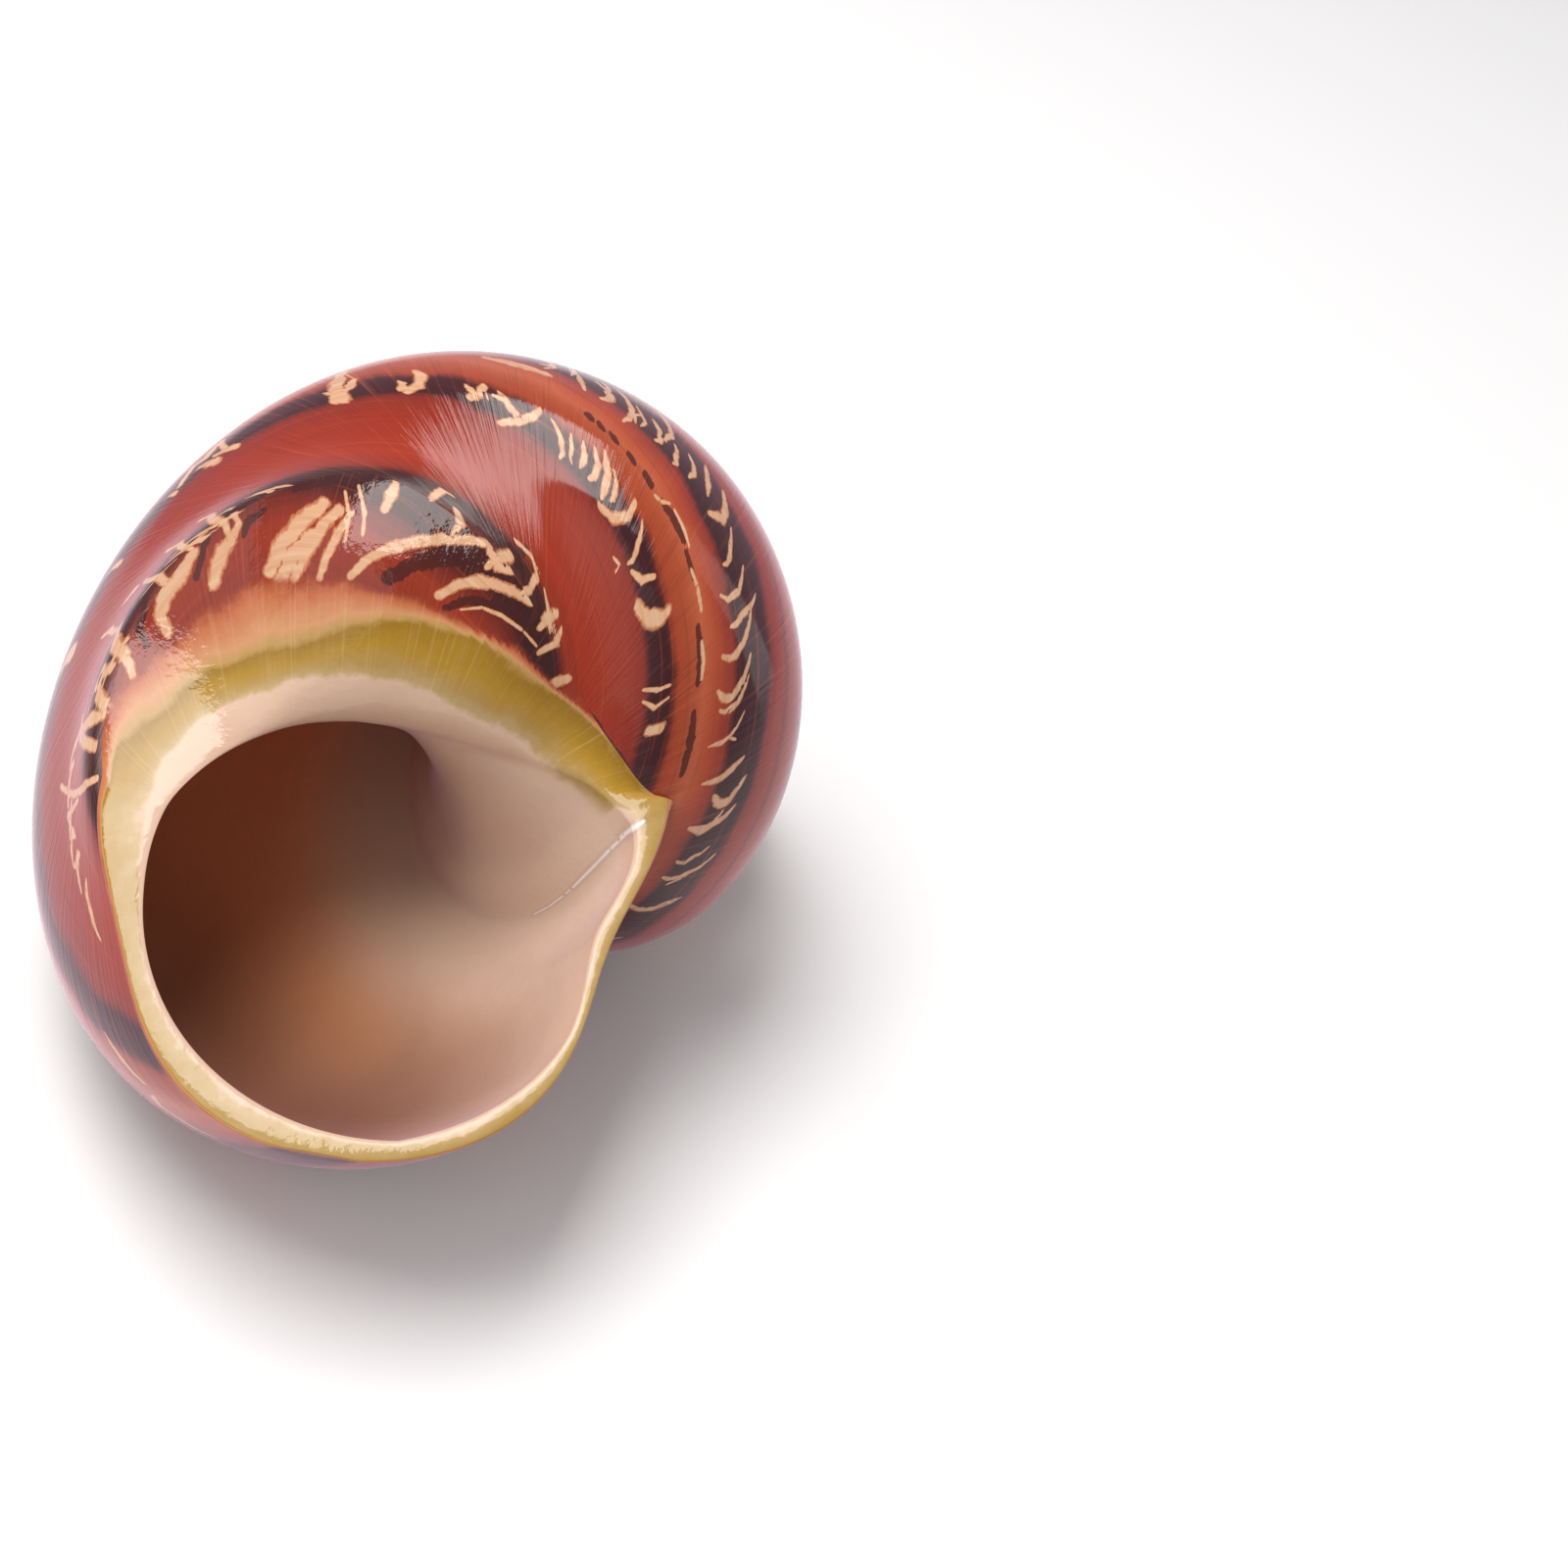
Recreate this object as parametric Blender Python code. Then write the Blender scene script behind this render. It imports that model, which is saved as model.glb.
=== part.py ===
"""A polished turban sea shell: one hollow, right-handed spiral with an open mouth, a thick glazed inner lip
and a closed umbilicus. It is drawn about its own axis with the apex at the origin, then laid on its back."""

import math

import bmesh
import bpy
import numpy as np
from mathutils import Euler, Matrix, Vector

# Driving dimensions: metres, degrees and turns. A turn of 0 is at the lip, and the apex has the lowest one.
SECTION_RADIUS = 0.0193  # mean radius of the whorl's section, for a spiral that stays steady to the lip
ORBIT_RADIUS = 0.01734  # from the shell's axis to the middle of that section
DROP = 0.04946  # from the apex down to the middle of that section
SECTION_GROWTH = 1.762  # how much wider the section grows in one turn
ORBIT_GROWTH = 2.484
DROP_GROWTH = 2.282
PLANE_LEAN = 38.2  # how far the mouth's plane leans forward at its upper corner
PLANE_SWING = 13.3  # how far its outer side swings forward
LATE_RATE = 6.0  # the last sixth of a turn departs from the steady spiral by these shares
LATE_SECTION = -0.064
LATE_ORBIT = -0.115
LATE_DROP = -0.051
LATE_LEAN = 10.1
SECTION_WAVES = ((2, -0.033, -0.036), (3, 0.125, -0.020), (4, -0.060, 0.030))  # order, cosine, sine
FIRST_TURN = -4.9

BASE_TURNS = (-0.76, -0.20)  # the base is filled out to the axis over this stretch of the last whorl
BASE_ANGLES = (-150.0, -85.0)  # and over these degrees round its section
BASE_TOP = -0.025  # height on the axis where that filling ends
COLUMELLA = 0.06  # radius left round the axis, as a share of the section's radius
COLUMELLA_BLEND = 0.05
CORE = 0.22  # radius of the solid pillar on the axis, as a share of the section's radius
WALL = 0.0018
GLAZE = 0.0010  # thickness laid over the older whorl inside the mouth
HOLLOW_START = -0.96
HOLLOW_END = 0.03
HOLLOW_BLEND = 0.0010
LIP_EDGE = (  # degrees round the mouth, and how far out its inner edge lies, as a share of the section's size
    (-319, 0.895),
    (-290, 0.80),
    (-259, 0.95),
    (-240, 0.84),
    (-222, 0.71),
    (-205, 0.665),
    (-181, 0.67),
    (-155, 0.76),
    (-130, 0.83),
    (-90, 0.84),
    (-49, 0.89),
    (0, 0.96),
)
LIP_INWARDS = 0.07  # turns over which the thick lip thins to the wall
LEAST_LIP = 0.0006
OLDER_WHORL = (  # degrees round the mouth, and where the whorl inside it begins: at the lip, and a turn back
    (-280, 1.60, 1.50),
    (-268, 1.25, 0.80),
    (-259, 1.05, 0.66),
    (-247, 0.94, 0.58),
    (-235, 0.83, 0.53),
    (-217, 0.74, 0.53),
    (-193, 0.73, 0.57),
    (-175, 0.80, 0.62),
    (-160, 1.10, 1.00),
)
LEAST_TURN = 0.004  # a small step along the spiral

RING_POINTS = 48
TURN_RINGS = 30
SPIRE_RINGS = 18
CORE_POINTS = 16
CORE_TURNS = (-3.0, -0.10)
SKIN_STEP = 0.00045
OUTSIDE_TRIANGLES = 6000

CALLUS_EDGE = (  # degrees round the mouth, and the turn and the degrees on the whorl where the pad thins out
    (-118, 0.0, -118),
    (-158, -0.29, -116),
    (-195, -0.50, -96),
    (-222, -0.62, -103),
    (-246, -0.781, -63.5),
    (-259, -0.829, -37.8),
)
CALLUS_RINGS = 40
CALLUS_ROWS = 9
CALLUS_FULLNESS = (1.2, 0.75)  # how far its curve keeps to the whorl and to the mouth, as shares of its width
CALLUS_ROOT = 0.0025  # how deep it is rooted in the whorl

LYING_TURN = (-130.92, 31.78, -71.61)  # degrees about X, Y and Z
REST_FLAT = 0.00012  # height taken off the points that it rests on

SHELL_COLOUR = (0.30, 0.06, 0.025, 1.0)
SHELL_ROUGHNESS = 0.18


def clear_scene():
    for obj in list(bpy.data.objects):
        bpy.data.objects.remove(obj, do_unlink=True)


def late(turn):
    """How much of the change near the lip applies: 1 at the lip and close to 0 half a turn back."""
    return np.exp(LATE_RATE * np.minimum(turn, 0.0))


def section_size(turn):
    return SECTION_RADIUS * SECTION_GROWTH**turn * (1 + LATE_SECTION * late(turn))


def column(values):
    return np.asarray(values)[..., None]


def section_frame(turn):
    """The section's middle, the outward and upward directions in its plane, and the plane's forward normal."""
    angle = -2 * math.pi * np.asarray(turn, float)
    level = np.zeros_like(angle)
    outward = np.stack([np.cos(angle), np.sin(angle), level], axis=-1)
    forward = np.stack([np.sin(angle), -np.cos(angle), level], axis=-1)
    upward = np.stack([level, level, level + 1.0], axis=-1)
    lean = column(np.radians(PLANE_LEAN + LATE_LEAN * late(turn)))
    swing = math.radians(PLANE_SWING)
    rise = np.cos(lean) * upward + np.sin(lean) * forward
    ahead = np.cos(lean) * forward - np.sin(lean) * upward
    side = math.cos(swing) * outward + math.sin(swing) * ahead
    normal = math.cos(swing) * ahead - math.sin(swing) * outward
    orbit = column(ORBIT_RADIUS * ORBIT_GROWTH**turn * (1 + LATE_ORBIT * late(turn)))
    drop = column(DROP * DROP_GROWTH**turn * (1 + LATE_DROP * late(turn)))
    return orbit * outward - drop * upward, side, rise, normal


def axis_distance(turn):
    """From the section's middle to the shell's axis, across the section's plane."""
    orbit = ORBIT_RADIUS * ORBIT_GROWTH**turn * (1 + LATE_ORBIT * late(turn))
    return orbit / math.cos(math.radians(PLANE_SWING))


def section_reach(turn, angles):
    """The section's radius at each angle: a wavy circle with a flat side where it meets the columella."""
    size = section_size(turn)
    radius = 1.0
    for order, cosine, sine in SECTION_WAVES:
        radius = radius + cosine * np.cos(order * angles) + sine * np.sin(order * angles)
    radius = radius * size
    towards_axis = np.maximum(-np.cos(angles), 1e-6)
    flat = (axis_distance(turn) - COLUMELLA * size) / towards_axis
    return smooth_least(radius, flat, COLUMELLA_BLEND * size)


def smooth_least(one, other, blend):
    """The smaller of two lengths, rounded off where they meet."""
    share = np.clip(0.5 + (other - one) / (2 * blend), 0.0, 1.0)
    return other * (1 - share) + one * share - blend * share * (1 - share)


def reach_to_older(turn, angles):
    """From the section's middle to the skin of the older whorl, or further where that is out of the way."""
    degrees = -np.mod(-np.degrees(angles), 360.0)
    places, at_lip, turn_back = np.array(OLDER_WHORL).T
    share = np.interp(degrees, places, at_lip + (at_lip - turn_back) * min(turn, 0.0))
    return share * section_size(turn)


def ring_angles(count=RING_POINTS):
    return (np.arange(count) + 0.5) * 2 * math.pi / count - math.pi


def section_points(turn, angles, reach):
    """Points in the section's plane, at angles round its middle and distances from it."""
    middle, side, rise, _ = section_frame(turn)
    return middle + column(reach) * (column(np.cos(angles)) * side + column(np.sin(angles)) * rise)


def loop_at(turn, reach, share=1.0):
    return section_points(turn, ring_angles(len(reach)), share * reach)


def outer_loop(turn, share=1.0):
    return loop_at(turn, section_reach(turn, ring_angles()), share)


def inner_reach(turn, angles):
    """How far out the hollow goes: inside the wall, which is thick at the lip, and clear of the older whorl."""
    outline = section_reach(turn, angles)
    edge = np.interp(np.degrees(angles), *zip(*LIP_EDGE), period=360)
    lip = np.maximum(outline - edge * section_size(turn), LEAST_LIP)
    wall = WALL + (lip - WALL) * math.exp(min(turn, 0.0) / LIP_INWARDS)
    return smooth_least(outline - wall, reach_to_older(turn, angles) - GLAZE, HOLLOW_BLEND)


def inner_loop(turn, share=1.0):
    return loop_at(turn, inner_reach(turn, ring_angles()), share)


def object_from(name, mesh):
    obj = bpy.data.objects.new(name, mesh)
    bpy.context.scene.collection.objects.link(obj)
    return obj


def tube_from_loops(name, loops):
    """A closed tube through a row of loops, with a cap on each end."""
    shape = bmesh.new()
    rings = [[shape.verts.new(point) for point in loop] for loop in loops]
    count = len(rings[0])
    for ring, following in zip(rings[:-1], rings[1:]):
        for index in range(count):
            after = (index + 1) % count
            shape.faces.new((ring[index], ring[after], following[after], following[index]))
    shape.faces.new(rings[0][::-1])
    shape.faces.new(rings[-1])
    bmesh.ops.recalc_face_normals(shape, faces=shape.faces)
    bmesh.ops.triangulate(shape, faces=[face for face in shape.faces if len(face.verts) > 4])
    mesh = bpy.data.meshes.new(name)
    shape.to_mesh(mesh)
    shape.free()
    return object_from(name, mesh)


def turns_between(first, last):
    """Turns for the rings, closer together on the last two whorls."""
    turns = [last]
    while turns[-1] > first:
        rings = TURN_RINGS if turns[-1] > -2.1 else SPIRE_RINGS
        turns.append(turns[-1] - 1.0 / rings)
    turns[-1] = first
    return turns[::-1]


def make_whorls():
    turns = turns_between(FIRST_TURN, 0.0)
    loops = [outer_loop(turns[0], share) for share in (0.35, 0.75)]
    return tube_from_loops("whorls", loops + [outer_loop(turn) for turn in turns[1:]])


def make_hollow():
    """The space inside the last whorl, round at its far end and open past the lip."""
    turns = turns_between(HOLLOW_START, HOLLOW_END)
    loops = [inner_loop(turns[0], share) for share in (0.3, 0.7)]
    loops.append(inner_loop(turns[1], 0.92))
    loops += [inner_loop(turn) for turn in turns[2:]]
    return tube_from_loops("hollow", loops)


def make_core():
    """The solid pillar that the whorls wind round, from the spire to the umbilicus."""
    loops = []
    angles = ring_angles(CORE_POINTS)
    ways = np.stack([np.cos(angles), np.sin(angles), np.zeros(CORE_POINTS)], axis=1)
    for turn in np.linspace(*CORE_TURNS, CORE_POINTS):
        middle = section_frame(turn)[0]
        loops.append(ways * section_size(turn) * CORE + [0.0, 0.0, middle[2]])
    return tube_from_loops("core", loops)


def make_base():
    """Fills the hollow round the axis under the last whorl, so that the base is convex and closed."""
    angles = np.radians(np.linspace(*BASE_ANGLES, 9))
    points = [np.array([0.0, 0.0, BASE_TOP])]
    for turn in np.linspace(*BASE_TURNS, 25):
        middle, side, rise, _ = section_frame(turn)
        ways = np.cos(angles)[:, None] * side + np.sin(angles)[:, None] * rise
        points += list(middle + section_reach(turn, angles)[:, None] * ways)
    shape = bmesh.new()
    for point in points:
        shape.verts.new(point)
    bmesh.ops.convex_hull(shape, input=list(shape.verts))
    loose = [vertex for vertex in shape.verts if not vertex.link_faces]
    bmesh.ops.delete(shape, geom=loose, context="VERTS")
    mesh = bpy.data.meshes.new("base")
    shape.to_mesh(mesh)
    shape.free()
    return object_from("base", mesh)


def make_callus():
    """The glazed pad that spreads from the mouth's inner lip over the base of the whorl."""
    places, turns, angles = np.array(CALLUS_EDGE, float)[::-1].T
    degrees = np.linspace(places[0], places[-1], CALLUS_RINGS)
    turns = np.interp(degrees, places, turns)
    angles = np.radians(np.interp(degrees, places, angles))
    around = np.radians(degrees)
    lips = section_points(0.0, around, inner_reach(0.0, around))
    deeper = section_points(-LEAST_TURN, around, inner_reach(-LEAST_TURN, around))
    rows = np.linspace(0.0, 1.0, CALLUS_ROWS)[:, None]
    loops = []
    for turn, angle, lip, inside in zip(turns, angles, lips, deeper):
        edge, outward = skin_point(turn, angle)
        across = lip - edge
        width = np.linalg.norm(across)
        leaving = across - across.dot(outward) * outward
        leaving *= CALLUS_FULLNESS[0] * width / max(np.linalg.norm(leaving), LEAST_LIP)
        arriving = (inside - lip) * CALLUS_FULLNESS[1] * width / np.linalg.norm(inside - lip)
        curve = (
            (2 * rows**3 - 3 * rows**2 + 1) * edge
            + (rows**3 - 2 * rows**2 + rows) * leaving
            + (3 * rows**2 - 2 * rows**3) * lip
            + (rows**3 - rows**2) * arriving
        )
        root = [inside - CALLUS_ROOT * outward, edge - CALLUS_ROOT * outward]
        loops.append(np.concatenate([curve, root]))
    return tube_from_loops("callus", loops)


def skin_point(turn, angle):
    """A point on the whorl's skin and the outward direction there."""
    place = section_points(turn, angle, section_reach(turn, angle))
    along = section_points(turn + LEAST_TURN, angle, section_reach(turn + LEAST_TURN, angle)) - place
    around = section_points(turn, angle + LEAST_TURN, section_reach(turn, angle + LEAST_TURN)) - place
    outward = np.cross(along, around)
    outward /= np.linalg.norm(outward)
    return place, outward * math.copysign(1.0, outward.dot(place - section_frame(turn)[0]))


def hide_helper(obj):
    obj.hide_render = True
    obj.display_type = "WIRE"


def apply_modifiers(obj):
    bpy.context.view_layer.update()
    evaluated = obj.evaluated_get(bpy.context.evaluated_depsgraph_get())
    mesh = bpy.data.meshes.new_from_object(evaluated)
    obj.modifiers.clear()
    obj.data = mesh


def fuse(name, pieces):
    """One skin round all the pieces, which may cross themselves and each other, thinned to few faces."""
    shape = bmesh.new()
    for piece in pieces:
        shape.from_mesh(piece.data)
        hide_helper(piece)
    mesh = bpy.data.meshes.new(name)
    shape.to_mesh(mesh)
    shape.free()
    fused = object_from(name, mesh)
    skin = fused.modifiers.new("skin", "REMESH")
    skin.mode = "VOXEL"
    skin.voxel_size = SKIN_STEP
    apply_modifiers(fused)
    thin = fused.modifiers.new("thin", "DECIMATE")
    thin.ratio = OUTSIDE_TRIANGLES / (2 * len(fused.data.polygons))
    apply_modifiers(fused)
    return fused


def cut(target, cutter):
    modifier = target.modifiers.new("cut", "BOOLEAN")
    modifier.operation = "DIFFERENCE"
    modifier.solver = "EXACT"
    modifier.object = cutter
    apply_modifiers(target)
    hide_helper(cutter)


def lay_down(obj):
    """Turns the shell to the way it lies, flattens the spots it rests on and sets them on the ground."""
    turn = Euler([math.radians(angle) for angle in LYING_TURN]).to_matrix().to_4x4()
    obj.data.transform(turn)
    places = np.array([vertex.co for vertex in obj.data.vertices])
    low, high = places.min(axis=0), places.max(axis=0)
    centre = Vector(((low[0] + high[0]) / 2, (low[1] + high[1]) / 2, low[2] + REST_FLAT))
    obj.data.transform(Matrix.Translation(-centre))
    shape = bmesh.new()
    shape.from_mesh(obj.data)
    everything = list(shape.verts) + list(shape.edges) + list(shape.faces)
    below = bmesh.ops.bisect_plane(
        shape, geom=everything, dist=1e-6, plane_co=(0, 0, 0), plane_no=(0, 0, -1), clear_outer=True
    )
    rims = [item for item in below["geom_cut"] if isinstance(item, bmesh.types.BMEdge)]
    bmesh.ops.edgenet_fill(shape, edges=rims)
    bmesh.ops.triangulate(shape, faces=[face for face in shape.faces if len(face.verts) > 3])
    bmesh.ops.recalc_face_normals(shape, faces=shape.faces)
    shape.to_mesh(obj.data)
    shape.free()


def colour(obj):
    material = bpy.data.materials.new("shell")
    material.use_nodes = True
    surface = material.node_tree.nodes["Principled BSDF"]
    surface.inputs["Base Color"].default_value = SHELL_COLOUR
    surface.inputs["Roughness"].default_value = SHELL_ROUGHNESS
    surface.inputs["Metallic"].default_value = 0.0
    obj.data.materials.clear()
    obj.data.materials.append(material)
    obj.data.shade_smooth()


def main():
    clear_scene()
    shell = fuse("turban_shell", [make_whorls(), make_core(), make_base(), make_callus()])
    cut(shell, make_hollow())
    lay_down(shell)
    colour(shell)


main()
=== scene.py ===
"""A polished turban sea shell lying on its back with its mouth upward, on a plain pale studio floor."""

import logging
import math
from dataclasses import dataclass, field
from enum import Enum

import bpy
import numpy as np
from mathutils import Euler, Matrix, Vector
from mathutils.bvhtree import BVHTree

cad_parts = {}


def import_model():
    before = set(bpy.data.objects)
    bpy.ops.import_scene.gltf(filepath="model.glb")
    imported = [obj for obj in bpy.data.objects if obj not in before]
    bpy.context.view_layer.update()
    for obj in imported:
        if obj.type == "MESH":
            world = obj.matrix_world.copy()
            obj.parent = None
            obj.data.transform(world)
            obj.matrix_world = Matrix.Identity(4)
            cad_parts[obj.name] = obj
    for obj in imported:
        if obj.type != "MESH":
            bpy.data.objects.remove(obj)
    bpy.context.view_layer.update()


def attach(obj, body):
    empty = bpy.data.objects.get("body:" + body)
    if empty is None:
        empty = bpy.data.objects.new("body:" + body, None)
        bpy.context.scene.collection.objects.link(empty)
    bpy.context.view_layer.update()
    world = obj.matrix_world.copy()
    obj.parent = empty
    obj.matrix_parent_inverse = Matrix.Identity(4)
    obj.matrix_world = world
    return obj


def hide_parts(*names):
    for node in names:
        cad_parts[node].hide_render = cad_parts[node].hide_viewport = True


LOG = logging.getLogger("scene")
Array = np.ndarray
Socket = bpy.types.NodeSocket
Tree = bpy.types.NodeTree
Value = Socket | float

LYING_TURN = (-130.92, 31.78, -71.61)  # degrees about X, Y and Z
APEX_AT = (0.02467149, 0.02647608, 0.00323232)  # metres
FIRST_TURN = -6.2  # the apex
FULL_TURN = 2 * math.pi
ROOM = ((-0.02665, -0.02986, 0.0), (0.02665, 0.02986, 0.04234))  # the box that the shell fills, in metres
NODE = "turban_shell"
FAR = 9.0  # a stroke coordinate well outside any stroke
GROWN_TURN = -0.5  # the turn from which marks have their full size
GLAZE_FADE = 60.0  # how far outside its edge the glaze starts, in pixels


def smooth_least(one: Array, other: Array, blend: float) -> Array:
    """The smaller of two lengths, rounded off where they meet.

    Args:
        one: the first lengths.
        other: the second lengths.
        blend: how near each other they are where the rounding starts.

    Returns:
        The smaller length at each place.
    """
    share = np.clip(0.5 + (other - one) / (2 * blend), 0.0, 1.0)
    return other * (1 - share) + one * share - blend * share * (1 - share)


def ease(low: float, high: float, value: Array) -> Array:
    """A smooth step.

    Args:
        low: where it leaves 0.
        high: where it reaches 1.
        value: the places to read it at.

    Returns:
        0 to 1 at each place.
    """
    share = np.clip((value - low) / (high - low), 0.0, 1.0)
    return share * share * (3 - 2 * share)


def unit(vectors: Array) -> Array:
    """The same directions with a length of 1."""
    return vectors / np.maximum(np.linalg.norm(vectors, axis=-1, keepdims=True), 1e-12)


def curve(share: Array, start: Array, leaving: Array, stop: Array, arriving: Array) -> Array:
    """A smooth curve between two ends.

    Args:
        share: how far along it is read, from 0 to 1.
        start: its first end.
        leaving: the slope there.
        stop: its last end.
        arriving: the slope there.

    Returns:
        The places on the curve.
    """
    square, cube = share**2, share**3
    return (
        (2 * cube - 3 * square + 1) * start
        + (cube - 2 * square + share) * leaving
        + (3 * square - 2 * cube) * stop
        + (cube - square) * arriving
    )


def round_mouth(angle: Array) -> Array:
    """Angles round the mouth in degrees, from 0 down to -360."""
    return -np.mod(-np.degrees(angle), 360.0)


def smooth_table(places: Array, values: Array, at: Array) -> Array:
    """Values between a few control points, on a curve with no corners.

    Args:
        places: where the control points are, in rising order.
        values: their values.
        at: the places to read the curve at.

    Returns:
        The curve's value at each place.
    """
    places, values = np.asarray(places, float), np.asarray(values, float)
    slopes = np.gradient(values, places)
    index = np.clip(np.searchsorted(places, at) - 1, 0, len(places) - 2)
    gap = places[index + 1] - places[index]
    share = np.clip((at - places[index]) / gap, 0.0, 1.0)
    return curve(share, values[index], gap * slopes[index], values[index + 1], gap * slopes[index + 1])


@dataclass(frozen=True)
class Spiral:
    """The shell's growth: a leaning section that swells as it winds down round the axis. Metres and turns.

    A turn of 0 is at the lip, and the apex has the lowest one. A section's angle is 0 at its outermost point,
    and it rises towards the apex.

    Args:
        section_radius: the section's radius at the lip, before the late growth.
        orbit_radius: its distance from the axis there.
        drop: how far it lies from the apex there, along the axis.
        section_growth: what the radius is multiplied by in a turn.
        orbit_growth: what the distance is multiplied by.
        drop_growth: what the drop is multiplied by.
        plane_lean: the degrees that the section leans by.
        plane_swing: the degrees that it swings by.
        late_rate: how suddenly the growth near the lip sets in.
        late_section: what that adds to the radius, as a share.
        late_orbit: what it adds to the distance, as a share.
        late_drop: what it adds to the drop, as a share.
        late_lean: what it adds to the lean, in degrees.
        waves: the outline's waves: how many go round it, and their cosine and sine shares.
        columella: the least distance from the axis, as a share of the radius.
        columella_blend: how softly the outline flattens there, as a share too.
    """

    section_radius: float = 0.0193
    orbit_radius: float = 0.01734
    drop: float = 0.04946
    section_growth: float = 1.762
    orbit_growth: float = 2.484
    drop_growth: float = 2.282
    plane_lean: float = 38.2
    plane_swing: float = 13.3
    late_rate: float = 6.0
    late_section: float = -0.064
    late_orbit: float = -0.115
    late_drop: float = -0.051
    late_lean: float = 10.1
    waves: tuple[tuple[int, float, float], ...] = (
        (2, -0.033, -0.036), (3, 0.125, -0.020), (4, -0.060, 0.030),
    )
    columella: float = 0.06
    columella_blend: float = 0.05

    def late(self, turn: Array) -> Array:
        """How far the growth near the lip has set in: 1 at the lip and 0 well before it."""
        return np.exp(self.late_rate * np.minimum(turn, 0.0))

    def size(self, turn: Array) -> Array:
        """The section's radius in metres at each turn."""
        return self.section_radius * self.section_growth**turn * (1 + self.late_section * self.late(turn))

    def orbit(self, turn: Array) -> Array:
        """The section's distance from the axis in metres at each turn."""
        return self.orbit_radius * self.orbit_growth**turn * (1 + self.late_orbit * self.late(turn))

    def frame(self, turn: Array) -> tuple[Array, Array, Array, Array]:
        """The plane that a section lies in.

        Args:
            turn: the turns.

        Returns:
            The section's middle, its outward and upward directions, and its plane's forward normal.
        """
        turn = np.asarray(turn, float)
        angle = -FULL_TURN * turn
        level = np.zeros_like(angle)
        outward = np.stack([np.cos(angle), np.sin(angle), level], axis=-1)
        forward = np.stack([np.sin(angle), -np.cos(angle), level], axis=-1)
        upward = np.stack([level, level, level + 1.0], axis=-1)
        lean = np.radians(self.plane_lean + self.late_lean * self.late(turn))[..., None]
        swing = math.radians(self.plane_swing)
        rise = np.cos(lean) * upward + np.sin(lean) * forward
        ahead = np.cos(lean) * forward - np.sin(lean) * upward
        side = math.cos(swing) * outward + math.sin(swing) * ahead
        normal = math.cos(swing) * ahead - math.sin(swing) * outward
        drop = self.drop * self.drop_growth**turn * (1 + self.late_drop * self.late(turn))
        return self.orbit(turn)[..., None] * outward - drop[..., None] * upward, side, rise, normal

    def reach(self, turn: Array, angle: Array) -> Array:
        """The section's outline: a wavy circle with a flat side at the columella.

        Args:
            turn: the turns.
            angle: the section's angles, in radians.

        Returns:
            The distance from the section's middle to the skin.
        """
        size = self.size(turn)
        radius = 1.0
        for order, cosine, sine in self.waves:
            radius = radius + cosine * np.cos(order * angle) + sine * np.sin(order * angle)
        radius = radius * size
        distance = self.orbit(turn) / math.cos(math.radians(self.plane_swing))
        flat = (distance - self.columella * size) / np.maximum(-np.cos(angle), 1e-6)
        return smooth_least(radius, flat, self.columella_blend * size)

    def at(self, turn: Array, angle: Array, reach: Array | None = None) -> Array:
        """Points in the sections.

        Args:
            turn: the turns.
            angle: the section's angles, in radians.
            reach: distances from the section's middle, or None for the skin.

        Returns:
            The points, in the shell's frame.
        """
        turn, angle = np.broadcast_arrays(np.asarray(turn, float), np.asarray(angle, float))
        middle, side, rise, _ = self.frame(turn)
        reach = self.reach(turn, angle) if reach is None else reach
        ways = np.cos(angle)[..., None] * side + np.sin(angle)[..., None] * rise
        return middle + np.asarray(reach)[..., None] * ways

    def outward_at(self, turn: Array, angle: Array, step: float = 1e-3) -> Array:
        """The skin's normals.

        Args:
            turn: the turns.
            angle: the section's angles, in radians.
            step: how far apart, in turns and radians, the skin is read for them.

        Returns:
            A unit vector for each place.
        """
        along = self.at(turn + step, angle) - self.at(turn - step, angle)
        round_it = self.at(turn, angle + step) - self.at(turn, angle - step)
        return unit(np.cross(along, round_it))

    def locate(self, points: Array, turn: Array, step: float = 1e-4, rounds: int = 12,
               most: float = 0.06) -> tuple[Array, Array]:
        """Where points lie in the growth.

        Args:
            points: the points, in the shell's frame.
            turn: a turn near each one.
            step: the turns over which a slope is read.
            rounds: how often the answer is mended.
            most: how many turns a round may mend it by.

        Returns:
            The turn and the section's angle of each point.
        """
        turn = np.broadcast_to(np.asarray(turn, float), points.shape[:-1]).copy()
        for _ in range(rounds):
            middle, _, _, normal = self.frame(turn)
            here = ((points - middle) * normal).sum(axis=-1)
            middle, _, _, normal = self.frame(turn + step)
            slope = (((points - middle) * normal).sum(axis=-1) - here) / step
            slope = np.where(np.abs(slope) < 1e-4, -1e-4, slope)
            turn = turn - np.clip(here / slope, -most, most)
        middle, side, rise, _ = self.frame(turn)
        across = ((points - middle) * side).sum(axis=-1)
        along = ((points - middle) * rise).sum(axis=-1)
        return turn, np.arctan2(along, across)


@dataclass(frozen=True)
class Lying:
    """The way from the shell's own frame, with its apex at the origin, to the way it lies on the floor.

    Args:
        turn: the degrees that it turns by about X, Y and Z.
        apex: where its apex comes to lie, in metres.
    """

    turn: tuple[float, ...] = LYING_TURN
    apex: tuple[float, ...] = APEX_AT

    def matrix(self) -> Array:
        """The rotation, as a 3 by 3 matrix."""
        return np.array(Euler([math.radians(angle) for angle in self.turn]).to_matrix())

    def place(self, points: Array) -> Array:
        """Points of the shell's own frame, as the shell lies."""
        return points @ self.matrix().T + np.array(self.apex)

    def point(self, vectors: Array) -> Array:
        """Directions of the shell's own frame, as the shell lies."""
        return vectors @ self.matrix().T


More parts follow.
